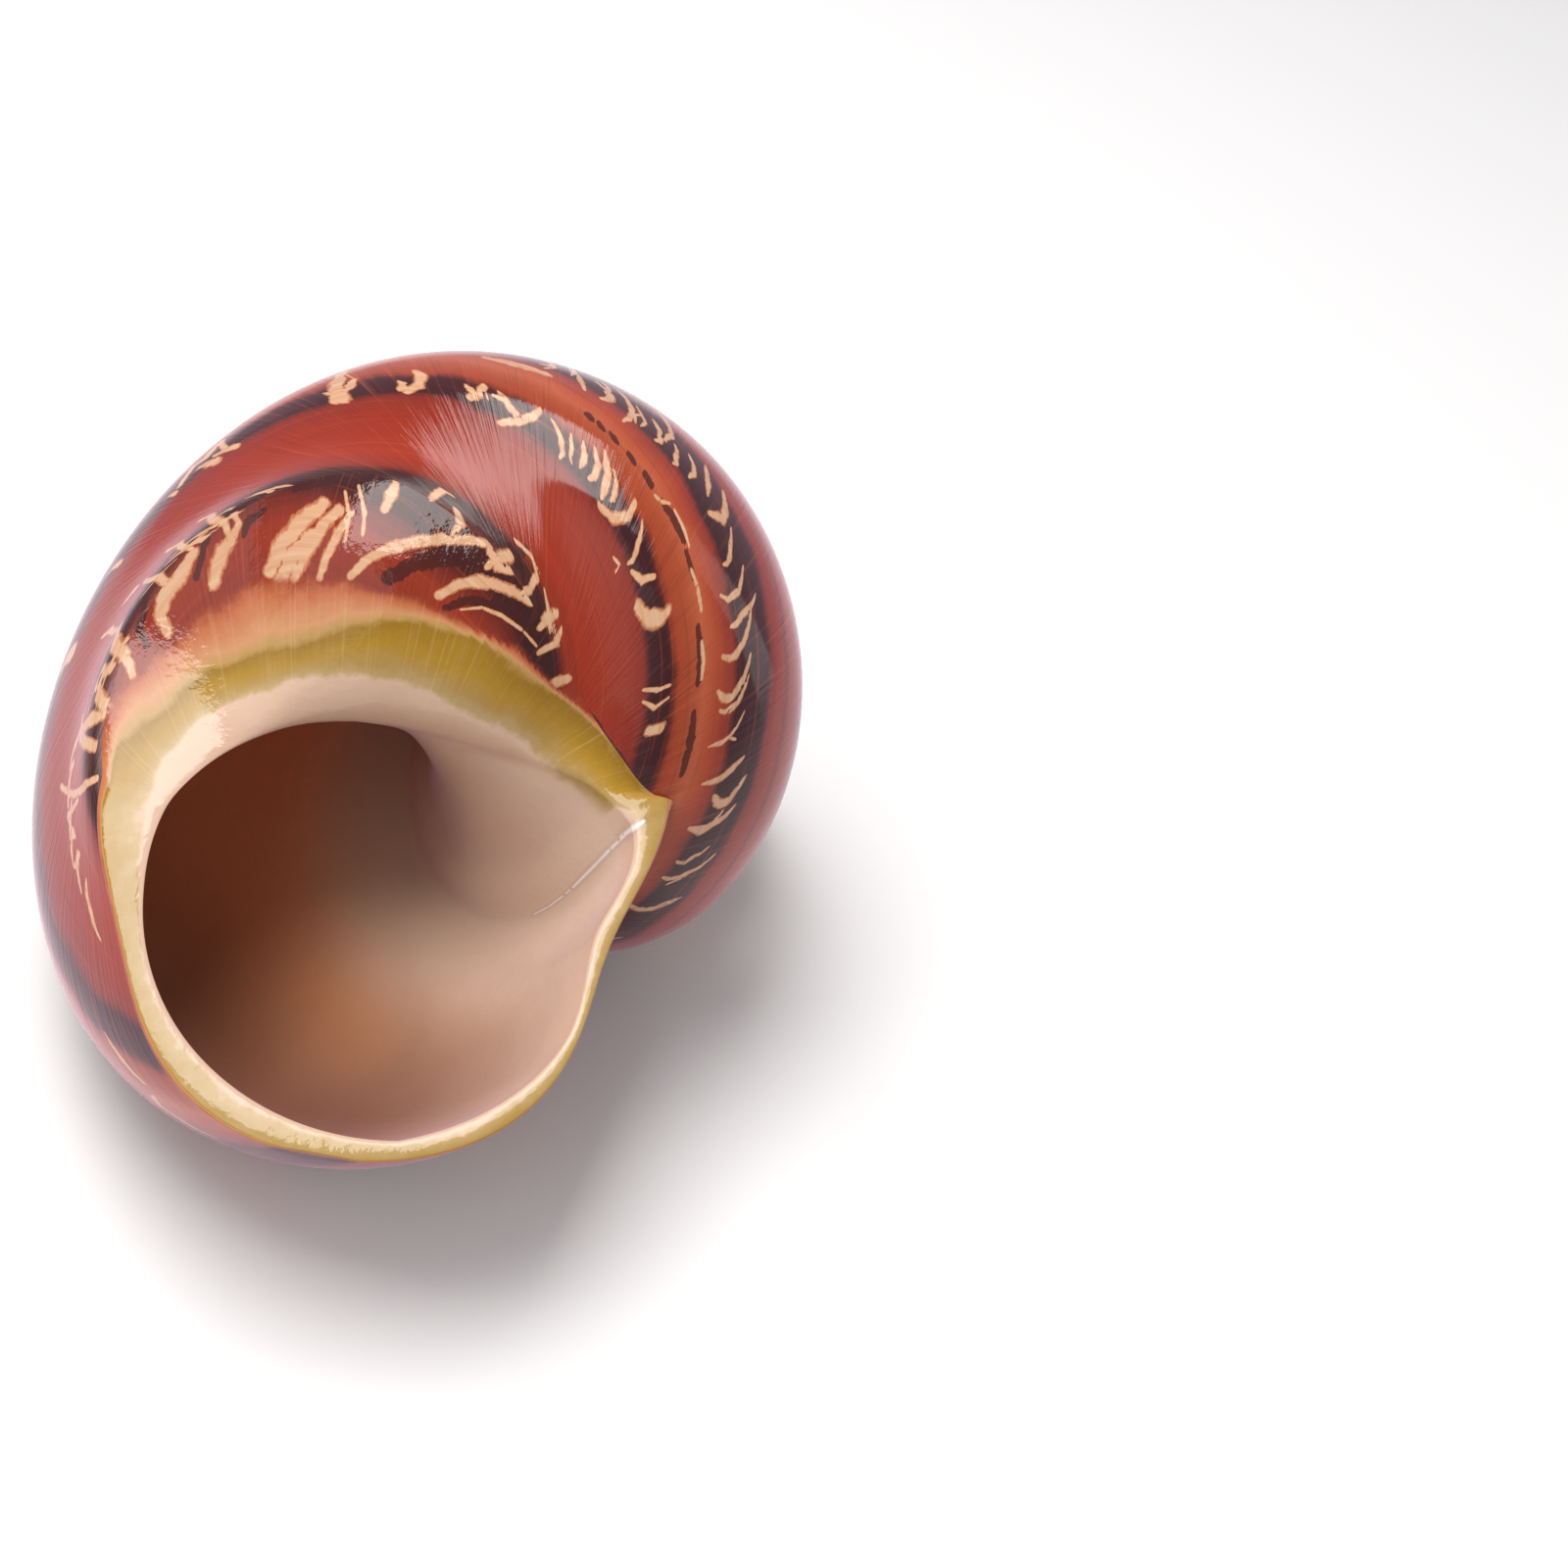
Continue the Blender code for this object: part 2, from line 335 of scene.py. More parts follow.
@dataclass(frozen=True)
class PhotoView:
    """One view of the shell: where its camera stood, in section radii, and where it aimed.

    Args:
        turning: the camera's rotation vector against the shell's frame.
        scale: pixels for one section radius.
        centre: the pixel of the point on the axis that the view is centred on.
        nearness: one over the camera's distance.
        pixels: the photograph's width.
        radius: the section radius, in metres.
        pivot: the height of that point on the axis, in section radii.
    """

    turning: tuple[float, float, float]
    scale: float
    centre: tuple[float, float]
    nearness: float
    pixels: float = 1600.0
    radius: float = Spiral.section_radius
    pivot: float = -1.2

    def rows(self) -> Array:
        """The camera's axes.

        Returns:
            Right, up and towards the viewer, in the shell's frame.
        """
        vector = np.array(self.turning)
        angle = np.linalg.norm(vector)
        x, y, z = vector / angle
        cross = np.array([[0, -z, y], [z, 0, -x], [-y, x, 0]])
        return np.eye(3) + math.sin(angle) * cross + (1 - math.cos(angle)) * cross @ cross

    def eye(self) -> Array:
        """The camera's place, in the shell's frame."""
        return (np.array([0.0, 0.0, self.pivot]) + self.rows()[2] / self.nearness) * self.radius

    def project(self, points: Array) -> Array:
        """Where points show in this view.

        Args:
            points: the points, in the shell's frame.

        Returns:
            A column and a row for each, in pixels.
        """
        local = (points / self.radius - [0.0, 0.0, self.pivot]) @ self.rows().T
        share = self.scale / (1 - self.nearness * local[..., 2])
        columns = self.centre[0] + share * local[..., 0]
        return np.stack([columns, self.centre[1] - share * local[..., 1]], axis=-1)

    def rays(self, pixels: Array) -> Array:
        """The ways that the camera looks.

        Args:
            pixels: columns and rows.

        Returns:
            A unit vector through each, in the shell's frame.
        """
        pixels = np.asarray(pixels, float)
        flat = np.stack(
            [
                (pixels[..., 0] - self.centre[0]) / self.scale,
                (self.centre[1] - pixels[..., 1]) / self.scale,
                np.zeros(pixels.shape[:-1]),
            ],
            axis=-1,
        )
        target = (np.array([0.0, 0.0, self.pivot]) + flat @ self.rows()) * self.radius
        return unit(target - self.eye())

    def camera(self, lying: Lying) -> bpy.types.Object:
        """Adds this view's camera to the scene.

        Args:
            lying: how the shell lies.

        Returns:
            The camera.
        """
        data = bpy.data.cameras.new("camera")
        data.sensor_width = 36.0
        data.lens = data.sensor_width * self.scale / self.nearness / self.pixels
        data.shift_x = (self.pixels / 2 - self.centre[0]) / self.pixels
        data.shift_y = (self.centre[1] - self.pixels / 2) / self.pixels
        data.clip_start = 0.001
        camera = bpy.data.objects.new("camera", data)
        axes = lying.point(self.rows())
        matrix = Matrix([list(axis) + [0.0] for axis in axes] + [[0.0, 0.0, 0.0, 1.0]]).transposed()
        matrix.translation = Vector(lying.place(self.eye()))
        camera.matrix_world = matrix
        bpy.context.scene.collection.objects.link(camera)
        return camera


MOUTH_VIEW = PhotoView((-2.1043, 1.7623, -0.8501), 261.4971, (584.2651, 732.1138), 0.1142)
BACK_VIEW = PhotoView((2.2369, -2.7273, -2.168), 281.5599, (1261.8248, 712.5402), 0.1033)


@dataclass
class Sheet:
    """A grid of points with a growth coordinate at each, made into one smooth mesh.

    Args:
        name: the object's name.
        points: rows by columns by 3, in the shell's frame.
        turns: the turn at each point.
        angles: the section's angle at each point, in radians and without jumps.
        zones: 0 on bare whorl, 1 to 2 on the tan glaze, 2 to 3 on the yellow-green, 3 to 4 on the nacre.
        depth: how far inside the mouth each point is, in turns.
        normals: the outward normals, or None to read them from the grid.
        pixels: each point's place in the mouth view, where its strokes are laid by that.
        closed: whether the columns join up.
        flip: whether the grid runs the other way round.
    """

    name: str
    points: Array
    turns: Array
    angles: Array
    zones: Array | None = None
    depth: Array | None = None
    normals: Array | None = None
    pixels: Array | None = None
    closed: bool = False
    flip: bool = False

    def quads(self) -> Array:
        """The grid's faces.

        Returns:
            The four corners of each, as numbers of points.
        """
        rows, columns = self.points.shape[:2]
        index = np.arange(rows * columns).reshape(rows, columns)
        if self.closed:
            index = np.concatenate([index, index[:, :1]], axis=1)
        quads = np.stack([index[:-1, :-1], index[:-1, 1:], index[1:, 1:], index[1:, :-1]], axis=-1)
        quads = quads.reshape(-1, 4)
        return quads[:, ::-1] if self.flip else quads

    def grid_normals(self) -> Array:
        """The normals, read from the grid itself.

        Returns:
            An outward unit vector at each point.
        """
        down = np.gradient(self.points, axis=0)
        if self.closed:
            wide = np.concatenate([self.points[:, -1:], self.points, self.points[:, :1]], axis=1)
            across = (wide[:, 2:] - wide[:, :-2]) / 2
        else:
            across = np.gradient(self.points, axis=1)
        normals = unit(np.cross(across, down))
        return -normals if self.flip else normals

    def build(self, lying: Lying, material: bpy.types.Material, strokes: "StrokeSet") -> bpy.types.Object:
        """Makes the object, with its growth and stroke coordinates.

        Args:
            lying: how the shell lies.
            material: its material.
            strokes: the painted strokes.

        Returns:
            The object.
        """
        quads = self.quads()
        places = lying.place(self.points).reshape(-1, 3)
        places = np.clip(places, *np.array(ROOM))
        mesh = bpy.data.meshes.new(self.name)
        mesh.vertices.add(len(places))
        mesh.vertices.foreach_set("co", places.ravel())
        mesh.loops.add(quads.size)
        mesh.loops.foreach_set("vertex_index", quads.ravel())
        mesh.polygons.add(len(quads))
        mesh.polygons.foreach_set("loop_start", np.arange(0, quads.size, 4))
        mesh.update(calc_edges=True)
        turns, angles = self.turns.ravel()[quads], self.angles.ravel()[quads]
        if self.closed:
            angles = angles - FULL_TURN * np.round((angles - angles[:, :1]) / FULL_TURN)
        self.add_map(mesh, "growth", np.stack([turns, angles / FULL_TURN], axis=-1))
        for kind, (skin_group, photo_group) in strokes.items():
            if self.pixels is None:
                coordinates = skin_group.coordinates(turns, angles)
            else:
                places = self.pixels.reshape(-1, 2)[quads]
                coordinates = photo_group.coordinates(places[..., 0], places[..., 1])
            self.add_map(mesh, kind.value, coordinates)
        for label, values in (("zone", self.zones), ("depth", self.depth)):
            if values is not None:
                attribute = mesh.attributes.new(label, "FLOAT", "POINT")
                attribute.data.foreach_set("value", values.astype(np.float32).ravel())
        mesh.shade_smooth()
        normals = lying.point(self.grid_normals() if self.normals is None else self.normals)
        mesh.normals_split_custom_set_from_vertices(normals.reshape(-1, 3).tolist())
        mesh.materials.append(material)
        obj = bpy.data.objects.new(self.name, mesh)
        bpy.context.scene.collection.objects.link(obj)
        LOG.info("%s: %d faces", self.name, len(quads))
        return obj

    @staticmethod
    def add_map(mesh: bpy.types.Mesh, label: str, values: Array) -> None:
        """Stores a pair of coordinates at each corner of each face."""
        layer = mesh.uv_layers.new(name=label)
        layer.uv.foreach_set("vector", values.reshape(-1).astype(np.float32))


@dataclass(frozen=True)
class LipShape:
    """The mouth's lining: thick at the rim, then a thin wall, and clear of the older whorl inside the mouth.

    The angles go round the mouth from its outermost point past the base, the columella and the upper corner.

    Args:
        edge: degrees, and how far out the rim's inner edge lies, as a share of the section's size.
        older: degrees, and where the older whorl begins: at the lip, and a turn further in.
        wall: the whorl's own thickness.
        glaze: the thickness laid over the older whorl.
        blend: how softly the two meet.
        inwards: the turns over which the thick rim thins.
    """

    edge: tuple[tuple[float, float], ...] = (
        (-360, 0.96), (-319, 0.895), (-290, 0.80), (-259, 0.95), (-240, 0.84), (-222, 0.71), (-205, 0.665),
        (-181, 0.67), (-155, 0.76), (-130, 0.83), (-90, 0.84), (-49, 0.89), (0, 0.96),
    )
    older: tuple[tuple[float, float, float], ...] = (
        (-280, 1.60, 1.50), (-268, 1.25, 0.80), (-259, 1.05, 0.66), (-247, 0.94, 0.58), (-235, 0.83, 0.53),
        (-217, 0.74, 0.53), (-193, 0.73, 0.57), (-175, 0.80, 0.62), (-160, 1.10, 1.00),
    )
    wall: float = 0.0018
    glaze: float = 0.0009
    blend: float = 0.0012
    inwards: float = 0.07

    def lining(self, spiral: Spiral, turn: Array, angle: Array) -> Array:
        """The lining of the mouth.

        Args:
            spiral: the growth.
            turn: the turns.
            angle: the section's angles, in radians.

        Returns:
            How far the lining lies from the section's middle.
        """
        degrees = round_mouth(angle)
        size = spiral.size(turn)
        outline = spiral.reach(turn, angle)
        places, shares = np.array(self.edge, float).T
        rim = np.maximum(outline - smooth_table(places, shares, degrees) * size, 0.0005)
        wall = self.wall + (rim - self.wall) * np.exp(np.minimum(turn, 0.0) / self.inwards)
        places, at_lip, turn_back = np.array(self.older, float).T
        slope = smooth_table(places, at_lip - turn_back, degrees)
        older = (smooth_table(places, at_lip, degrees) + slope * np.minimum(turn, 0.0)) * size
        return smooth_least(outline - wall, older - self.glaze, self.blend)


class StrokeKind(Enum):
    """The sorts of painted mark, each with its own map of stroke coordinates."""

    CREAM = "cream"
    DARK = "dark"
    CREASE = "crease"


@dataclass
class StrokeGroup:
    """Painted strokes: chains of short straight pieces laid on the skin, in turns and radians.

    Args:
        spiral: the growth that the strokes lie on.
        pieces: one row for each piece: its ends' turns and angles, then its half widths there in metres.
        nearest: how far from a face a stroke still counts, in metres.
    """

    spiral: Spiral
    pieces: list[tuple[float, ...]] = field(default_factory=list)
    nearest: float = 0.0022

    def add(self, turns: Array, angles: Array, half_widths: Array) -> None:
        """Adds one stroke.

        Args:
            turns: the turn at each of its points.
            angles: the section's angle there, in radians.
            half_widths: half its width there, in metres.
        """
        for index in range(len(turns) - 1):
            after = index + 1
            ends = (turns[index], angles[index], turns[after], angles[after])
            self.pieces.append(ends + (half_widths[index], half_widths[after]))

    def lengths(self, turns: Array, angles: Array) -> Array:
        """Metres for one turn and for one radian."""
        radius = np.linalg.norm(self.spiral.at(turns, angles)[..., :2], axis=-1)
        return np.stack([FULL_TURN * radius, self.spiral.size(turns)], axis=-1)

    def coordinates(self, turns: Array, angles: Array, chunk: int = 3000, lanes: int = 40) -> Array:
        """Where the corners of faces lie against the nearest stroke.

        Args:
            turns: the turn at each corner of each face.
            angles: the section's angle there, in radians.
            chunk: how many faces are taken at once.
            lanes: how many ways they are then parted by angle.

        Returns:
            The distances across the stroke and past its end, in half widths, at each corner of each face.
        """
        corners = np.stack([turns, angles], axis=-1)
        middle = corners.mean(axis=1)
        lengths = self.lengths(middle[:, 0], middle[:, 1])
        result = np.full(corners.shape, FAR)
        table = np.array(self.pieces or [(FAR,) * 6], float)
        low = np.minimum(table[:, 0:2], table[:, 2:4])
        high = np.maximum(table[:, 0:2], table[:, 2:4])
        span = np.ptp(middle[:, 1]) + 1e-9
        lane = np.minimum(((middle[:, 1] - middle[:, 1].min()) / span * lanes).astype(int), lanes - 1)
        for start in range(0, len(middle), chunk):
            part = np.arange(start, min(start + chunk, len(middle)))
            for number in np.unique(lane[part]):
                faces = part[lane[part] == number]
                reach = self.nearest / lengths[faces].min(axis=0)
                first, last = middle[faces].min(axis=0) - reach, middle[faces].max(axis=0) + reach
                near = table[((low < last) & (high > first)).all(axis=1)]
                if len(near):
                    result[faces] = self.nearest_piece(near, corners[faces], middle[faces], lengths[faces])
        return result

    @staticmethod
    def nearest_piece(near: Array, corners: Array, middle: Array, lengths: Array) -> Array:
        """Coordinates against the one piece that lies nearest to each face.

        Args:
            near: the pieces that could be nearest.
            corners: the corners of each face.
            middle: the middle of each face.
            lengths: metres for one unit of each coordinate, at each face.

        Returns:
            The distances across the piece and past its end, in half widths, at each corner of each face.
        """
        one = (near[None, :, 0:2] - middle[:, None]) * lengths[:, None]
        other = (near[None, :, 2:4] - middle[:, None]) * lengths[:, None]
        length = np.maximum(np.linalg.norm(other - one, axis=-1), 1e-7)
        way = (other - one) / length[..., None]
        share = np.clip(-(one * way).sum(axis=-1) / length, 0.0, 1.0)
        width = near[None, :, 4] * (1 - share) + near[None, :, 5] * share
        gap = np.linalg.norm(one + (share * length)[..., None] * way, axis=-1) - width
        best = gap.argmin(axis=1)
        rows = np.arange(len(best))
        one, way, length, near = one[rows, best], way[rows, best], length[rows, best], near[best]
        local = (corners - middle[:, None]) * lengths[:, None] - one[:, None]
        along = (local * way[:, None]).sum(axis=-1)
        across = local[..., 1] * way[:, None, 0] - local[..., 0] * way[:, None, 1]
        share = np.clip(along / length[:, None], 0.0, 1.0)
        width = near[:, 4, None] * (1 - share) + near[:, 5, None] * share
        past = along - share * length[:, None]
        return np.clip(np.stack([across, past], axis=-1) / width[..., None], -FAR, FAR)


@dataclass
class PhotoStrokeGroup(StrokeGroup):
    """Strokes in the pixels of the mouth view, for the base, which only that view shows."""

    def lengths(self, columns: Array, rows: Array) -> Array:
        """Metres for one pixel each way."""
        pixel = MOUTH_VIEW.radius / MOUTH_VIEW.scale
        return np.full(columns.shape + (2,), pixel)


StrokeSet = dict[StrokeKind, tuple[StrokeGroup, PhotoStrokeGroup]]
Random = np.random.Generator


def grown(spiral: Spiral, turn: float, least: float) -> float:
    """How large a mark is, against one on the body whorl.

    Args:
        spiral: the growth.
        turn: the turn that it lies at.
        least: the share that a mark never falls below.

    Returns:
        A share of 1 at most.
    """
    return min(1.0, least + (1 - least) * float(spiral.size(turn) / spiral.size(GROWN_TURN)))


@dataclass(frozen=True)
class Crescents:
    """A row of small curved cream marks on one spiral band.

    Args:
        angle: where the band lies round the section, in degrees.
        spacing: between marks, in metres.
        half: half a mark's length across the band, in metres.
        bend: how far its middle bows back, in metres.
        lean: how far its upper end leads, in metres.
        width: half its width, in metres.
        share: how many of the places hold a mark.
        taper: how much wider its lower end is.
        branch: how many marks have a side branch.
    """

    angle: float
    spacing: float
    half: float
    bend: float
    lean: float
    width: float
    share: float = 0.8
    taper: float = 0.0
    branch: float = 0.25

    def stroke(self, group: StrokeGroup, turn: float, angle: float, rng: Random, grow: float = 1.0) -> None:
        """One mark, and now and then a short branch from its middle.

        Args:
            group: the strokes that it joins.
            turn: the turn of its middle.
            angle: the section's angle there, in radians.
            rng: the random numbers.
            grow: its size against the row's.
        """
        spiral = group.spiral
        scale = grow * rng.uniform(0.75, 1.25)
        size = spiral.size(turn)
        round_length = FULL_TURN * np.linalg.norm(spiral.at(turn, angle)[:2])
        along = np.linspace(-1.0, 1.0, 6)
        half, bend = self.half * scale * rng.uniform(0.7, 1.2), self.bend * scale * rng.uniform(0.2, 1.7)
        lean = self.lean * rng.uniform(-0.2, 2.0)
        kink = rng.normal(0.0, 0.00007, 6) * grow
        turns = turn + (bend * (along**2 - 0.4) + lean * along + kink) / round_length
        angles = angle + along * half / size
        widths = self.width * scale * rng.uniform(0.7, 1.4) * (1.2 - 0.75 * along**2 - self.taper * along)
        group.add(turns, angles, widths)
        if rng.random() < self.branch:
            side = rng.choice((-1.0, 1.0))
            tip = turn + side * rng.uniform(0.0007, 0.0013) * scale / round_length
            fall = rng.uniform(-0.9, 0.9) * half / size
            branch_turns = (turns[3], (turns[3] + tip) / 2, tip)
            branch_angles = (angles[3], angles[3] + fall * 0.3, angles[3] + fall)
            group.add(branch_turns, branch_angles, (widths[3] * 0.9, widths[3] * 0.7, widths[3] * 0.3))

    def fill(self, group: StrokeGroup, first: float, last: float, rng: Random) -> None:
        """Marks along a stretch of the band.

        Args:
            group: the strokes that they join.
            first: the turn where they start.
            last: the turn where they stop.
            rng: the random numbers.
        """
        spiral = group.spiral
        turn = first
        while turn < last:
            angle = math.radians(self.angle + rng.normal(0, 1.2))
            radius = np.linalg.norm(spiral.at(turn, angle)[:2])
            scale = grown(spiral, turn, 0.35)
            step = self.spacing * scale / (FULL_TURN * radius)
            if rng.random() < self.share:
                self.stroke(group, turn, angle, rng, scale)
            turn += step * rng.uniform(0.5, 1.5)


@dataclass(frozen=True)
class PaintedBand:
    """One spiral band of marks.

    Args:
        row: what its marks are like.
        mouth_pixels: where the photograph's mouth view shows one.
        back_pixels: where its back view shows one.
        older: whether the older whorls have them too.
    """

    row: Crescents
    mouth_pixels: tuple[tuple[int, int], ...] = ()
    back_pixels: tuple[tuple[int, int], ...] = ()
    older: bool = True


@dataclass(frozen=True)
class PaintedStroke:
    """One larger mark that the photograph shows.

    Args:
        kind: what sort of mark it is.
        width: its width, in pixels.
        pixels: the points that it runs through.
        view: the view that shows it.
    """

    kind: StrokeKind
    width: float
    pixels: tuple[tuple[int, int], ...]
    view: PhotoView = MOUTH_VIEW


BANDS = (
    PaintedBand(
        Crescents(-111, spacing=0.0030, half=0.0012, bend=0.0007, lean=0.0006, width=0.00030, branch=0.6),
        ((268, 503), (240, 526), (228, 538), (194, 557), (162, 588), (134, 606), (116, 650), (100, 695),
         (84, 735), (76, 765), (72, 795), (72, 830), (74, 860), (80, 885), (92, 925), (560, 632),
         (566, 652), (300, 505)),
        ((985, 1165), (1000, 1168), (1030, 1150), (1050, 1142), (1075, 1132), (1105, 1120), (1160, 1108)),
        older=False,
    ),
    PaintedBand(
        Crescents(-55, spacing=0.0060, half=0.00075, bend=0.0005, lean=0.0004, width=0.00034, taper=0.4),
        (),
        ((865, 1100), (915, 1083), (990, 1068), (1040, 1062), (1062, 1058), (1212, 1035), (1295, 1022),
         (1372, 1008), (1410, 1000)),
        older=False,
    ),
    PaintedBand(
        Crescents(-55, spacing=0.0030, half=0.0012, bend=0.0003, lean=0.0002, width=0.00024, branch=0.0),
        ((571, 450), (583, 457), (595, 465), (607, 475), (618, 486), (627, 498), (650, 556)),
        older=False,
    ),
    PaintedBand(
        Crescents(-17, spacing=0.0036, half=0.0016, bend=0.0008, lean=0.0004, width=0.00024, branch=0.25),
        ((560, 372), (590, 385), (619, 402), (640, 415), (655, 426), (672, 442), (690, 465), (706, 478),
         (722, 490), (736, 520), (744, 560), (750, 600), (760, 625), (755, 655), (750, 700), (750, 715),
         (742, 750), (738, 790), (742, 812), (725, 840), (705, 875), (700, 890), (665, 925)),
        ((838, 965), (888, 955), (907, 960), (938, 955), (1015, 935), (1040, 940), (1075, 930),
         (1092, 930), (1125, 925), (1170, 925), (1190, 930), (1310, 920), (1360, 915), (1430, 915),
         (1455, 905), (1490, 905), (1535, 880)),
    ),
    PaintedBand(
        Crescents(32, spacing=0.0034, half=0.0020, bend=0.0005, lean=0.0009, width=0.00020, branch=0.4),
        (),
        ((895, 790), (903, 785), (912, 775), (920, 770), (930, 765), (985, 760), (1005, 760),
         (1022, 765), (1105, 740), (1185, 735), (1205, 745), (1238, 740), (1290, 715), (1312, 725),
         (1370, 715), (1400, 715), (1420, 715), (1440, 720), (1500, 720), (1530, 720)),
    ),
)
CREAM = StrokeKind.CREAM
DARK = StrokeKind.DARK
CREASE = StrokeKind.CREASE
BASE_STROKES = (
    PaintedStroke(CREAM, 20, ((276, 584), (288, 556), (308, 532), (330, 514))),
    PaintedStroke(CREAM, 16, ((300, 590), (312, 562), (328, 538), (346, 520))),
    PaintedStroke(CREAM, 10, ((326, 590), (334, 566), (346, 542), (358, 524))),
    PaintedStroke(CREAM, 12, ((392, 520), (400, 504), (404, 492))),
    PaintedStroke(CREAM, 6, ((440, 510), (452, 500), (462, 506))),
    PaintedStroke(
        CREAM, 12, ((358, 588), (374, 571), (396, 560), (424, 553), (452, 550), (482, 551), (500, 556)),
    ),
    PaintedStroke(CREAM, 11, ((498, 578), (508, 572), (522, 566))),
    PaintedStroke(CREAM, 7, ((526, 552), (543, 568), (548, 588), (541, 602), (526, 607))),
    PaintedStroke(CREAM, 13, ((448, 608), (466, 597), (486, 593), (508, 597), (526, 605), (542, 614))),
    PaintedStroke(CREAM, 4, ((470, 622), (492, 620), (512, 628), (534, 644), (548, 660))),
    PaintedStroke(CREAM, 9, ((551, 641), (560, 631), (569, 626))),
    PaintedStroke(CREAM, 8, ((550, 666), (568, 656), (573, 643))),
    PaintedStroke(CREAM, 11, ((560, 700), (572, 695), (580, 692))),
    PaintedStroke(CREAM, 16, ((218, 598), (221, 578), (227, 562), (236, 550))),
    PaintedStroke(CREAM, 9, ((204, 531), (216, 525), (229, 533), (236, 550), (244, 534), (238, 524))),
    PaintedStroke(CREAM, 16, ((171, 646), (163, 626), (168, 608), (180, 594), (190, 576), (198, 561))),
    PaintedStroke(CREAM, 7, ((170, 562), (184, 554), (198, 561))),
    PaintedStroke(CREAM, 7, ((148, 592), (162, 588), (176, 600))),
    PaintedStroke(CREAM, 13, ((136, 690), (128, 668), (117, 654), (122, 640))),
    PaintedStroke(CREAM, 7, ((104, 650), (113, 642), (122, 640))),
    PaintedStroke(CREAM, 14, ((114, 727), (100, 706), (104, 690), (116, 680))),
    PaintedStroke(CREAM, 12, ((98, 762), (82, 746), (92, 734), (110, 728))),
    PaintedStroke(CREAM, 7, ((62, 802), (72, 810), (88, 800), (100, 794))),
    PaintedStroke(CREAM, 6, ((76, 852), (69, 832), (80, 814))),
    PaintedStroke(CREASE, 6, ((657, 838), (646, 845), (634, 854))),
    PaintedStroke(CREASE, 4, ((640, 850), (622, 867), (603, 887), (584, 906))),
    PaintedStroke(CREASE, 2, ((592, 898), (576, 913), (560, 925), (543, 934))),
    PaintedStroke(CREAM, 22, ((286, 592), (300, 566), (318, 546))),
    PaintedStroke(CREAM, 5, ((352, 500), (356, 528), (352, 552))),
    PaintedStroke(CREAM, 5, ((366, 496), (372, 522), (370, 548))),
    PaintedStroke(CREAM, 9, ((466, 520), (472, 534), (462, 545))),
    PaintedStroke(CREAM, 12, ((500, 560), (508, 578), (522, 583))),
    PaintedStroke(DARK, 6, ((538, 664), (575, 710), (618, 754), (648, 796), (663, 817))),
    PaintedStroke(DARK, 9, ((538, 560), (524, 574), (536, 590))),
    PaintedStroke(DARK, 24, ((396, 590), (426, 574), (460, 567), (496, 572), (515, 584))),
    PaintedStroke(DARK, 14, ((455, 620), (480, 612), (520, 622), (548, 645))),
    PaintedStroke(DARK, 9, ((270, 520), (252, 532), (248, 548))),
    PaintedStroke(DARK, 12, ((212, 545), (200, 590))),
    PaintedStroke(DARK, 10, ((150, 612), (142, 640), (150, 660))),
    PaintedStroke(DARK, 10, ((300, 500), (318, 494), (336, 492))),
)
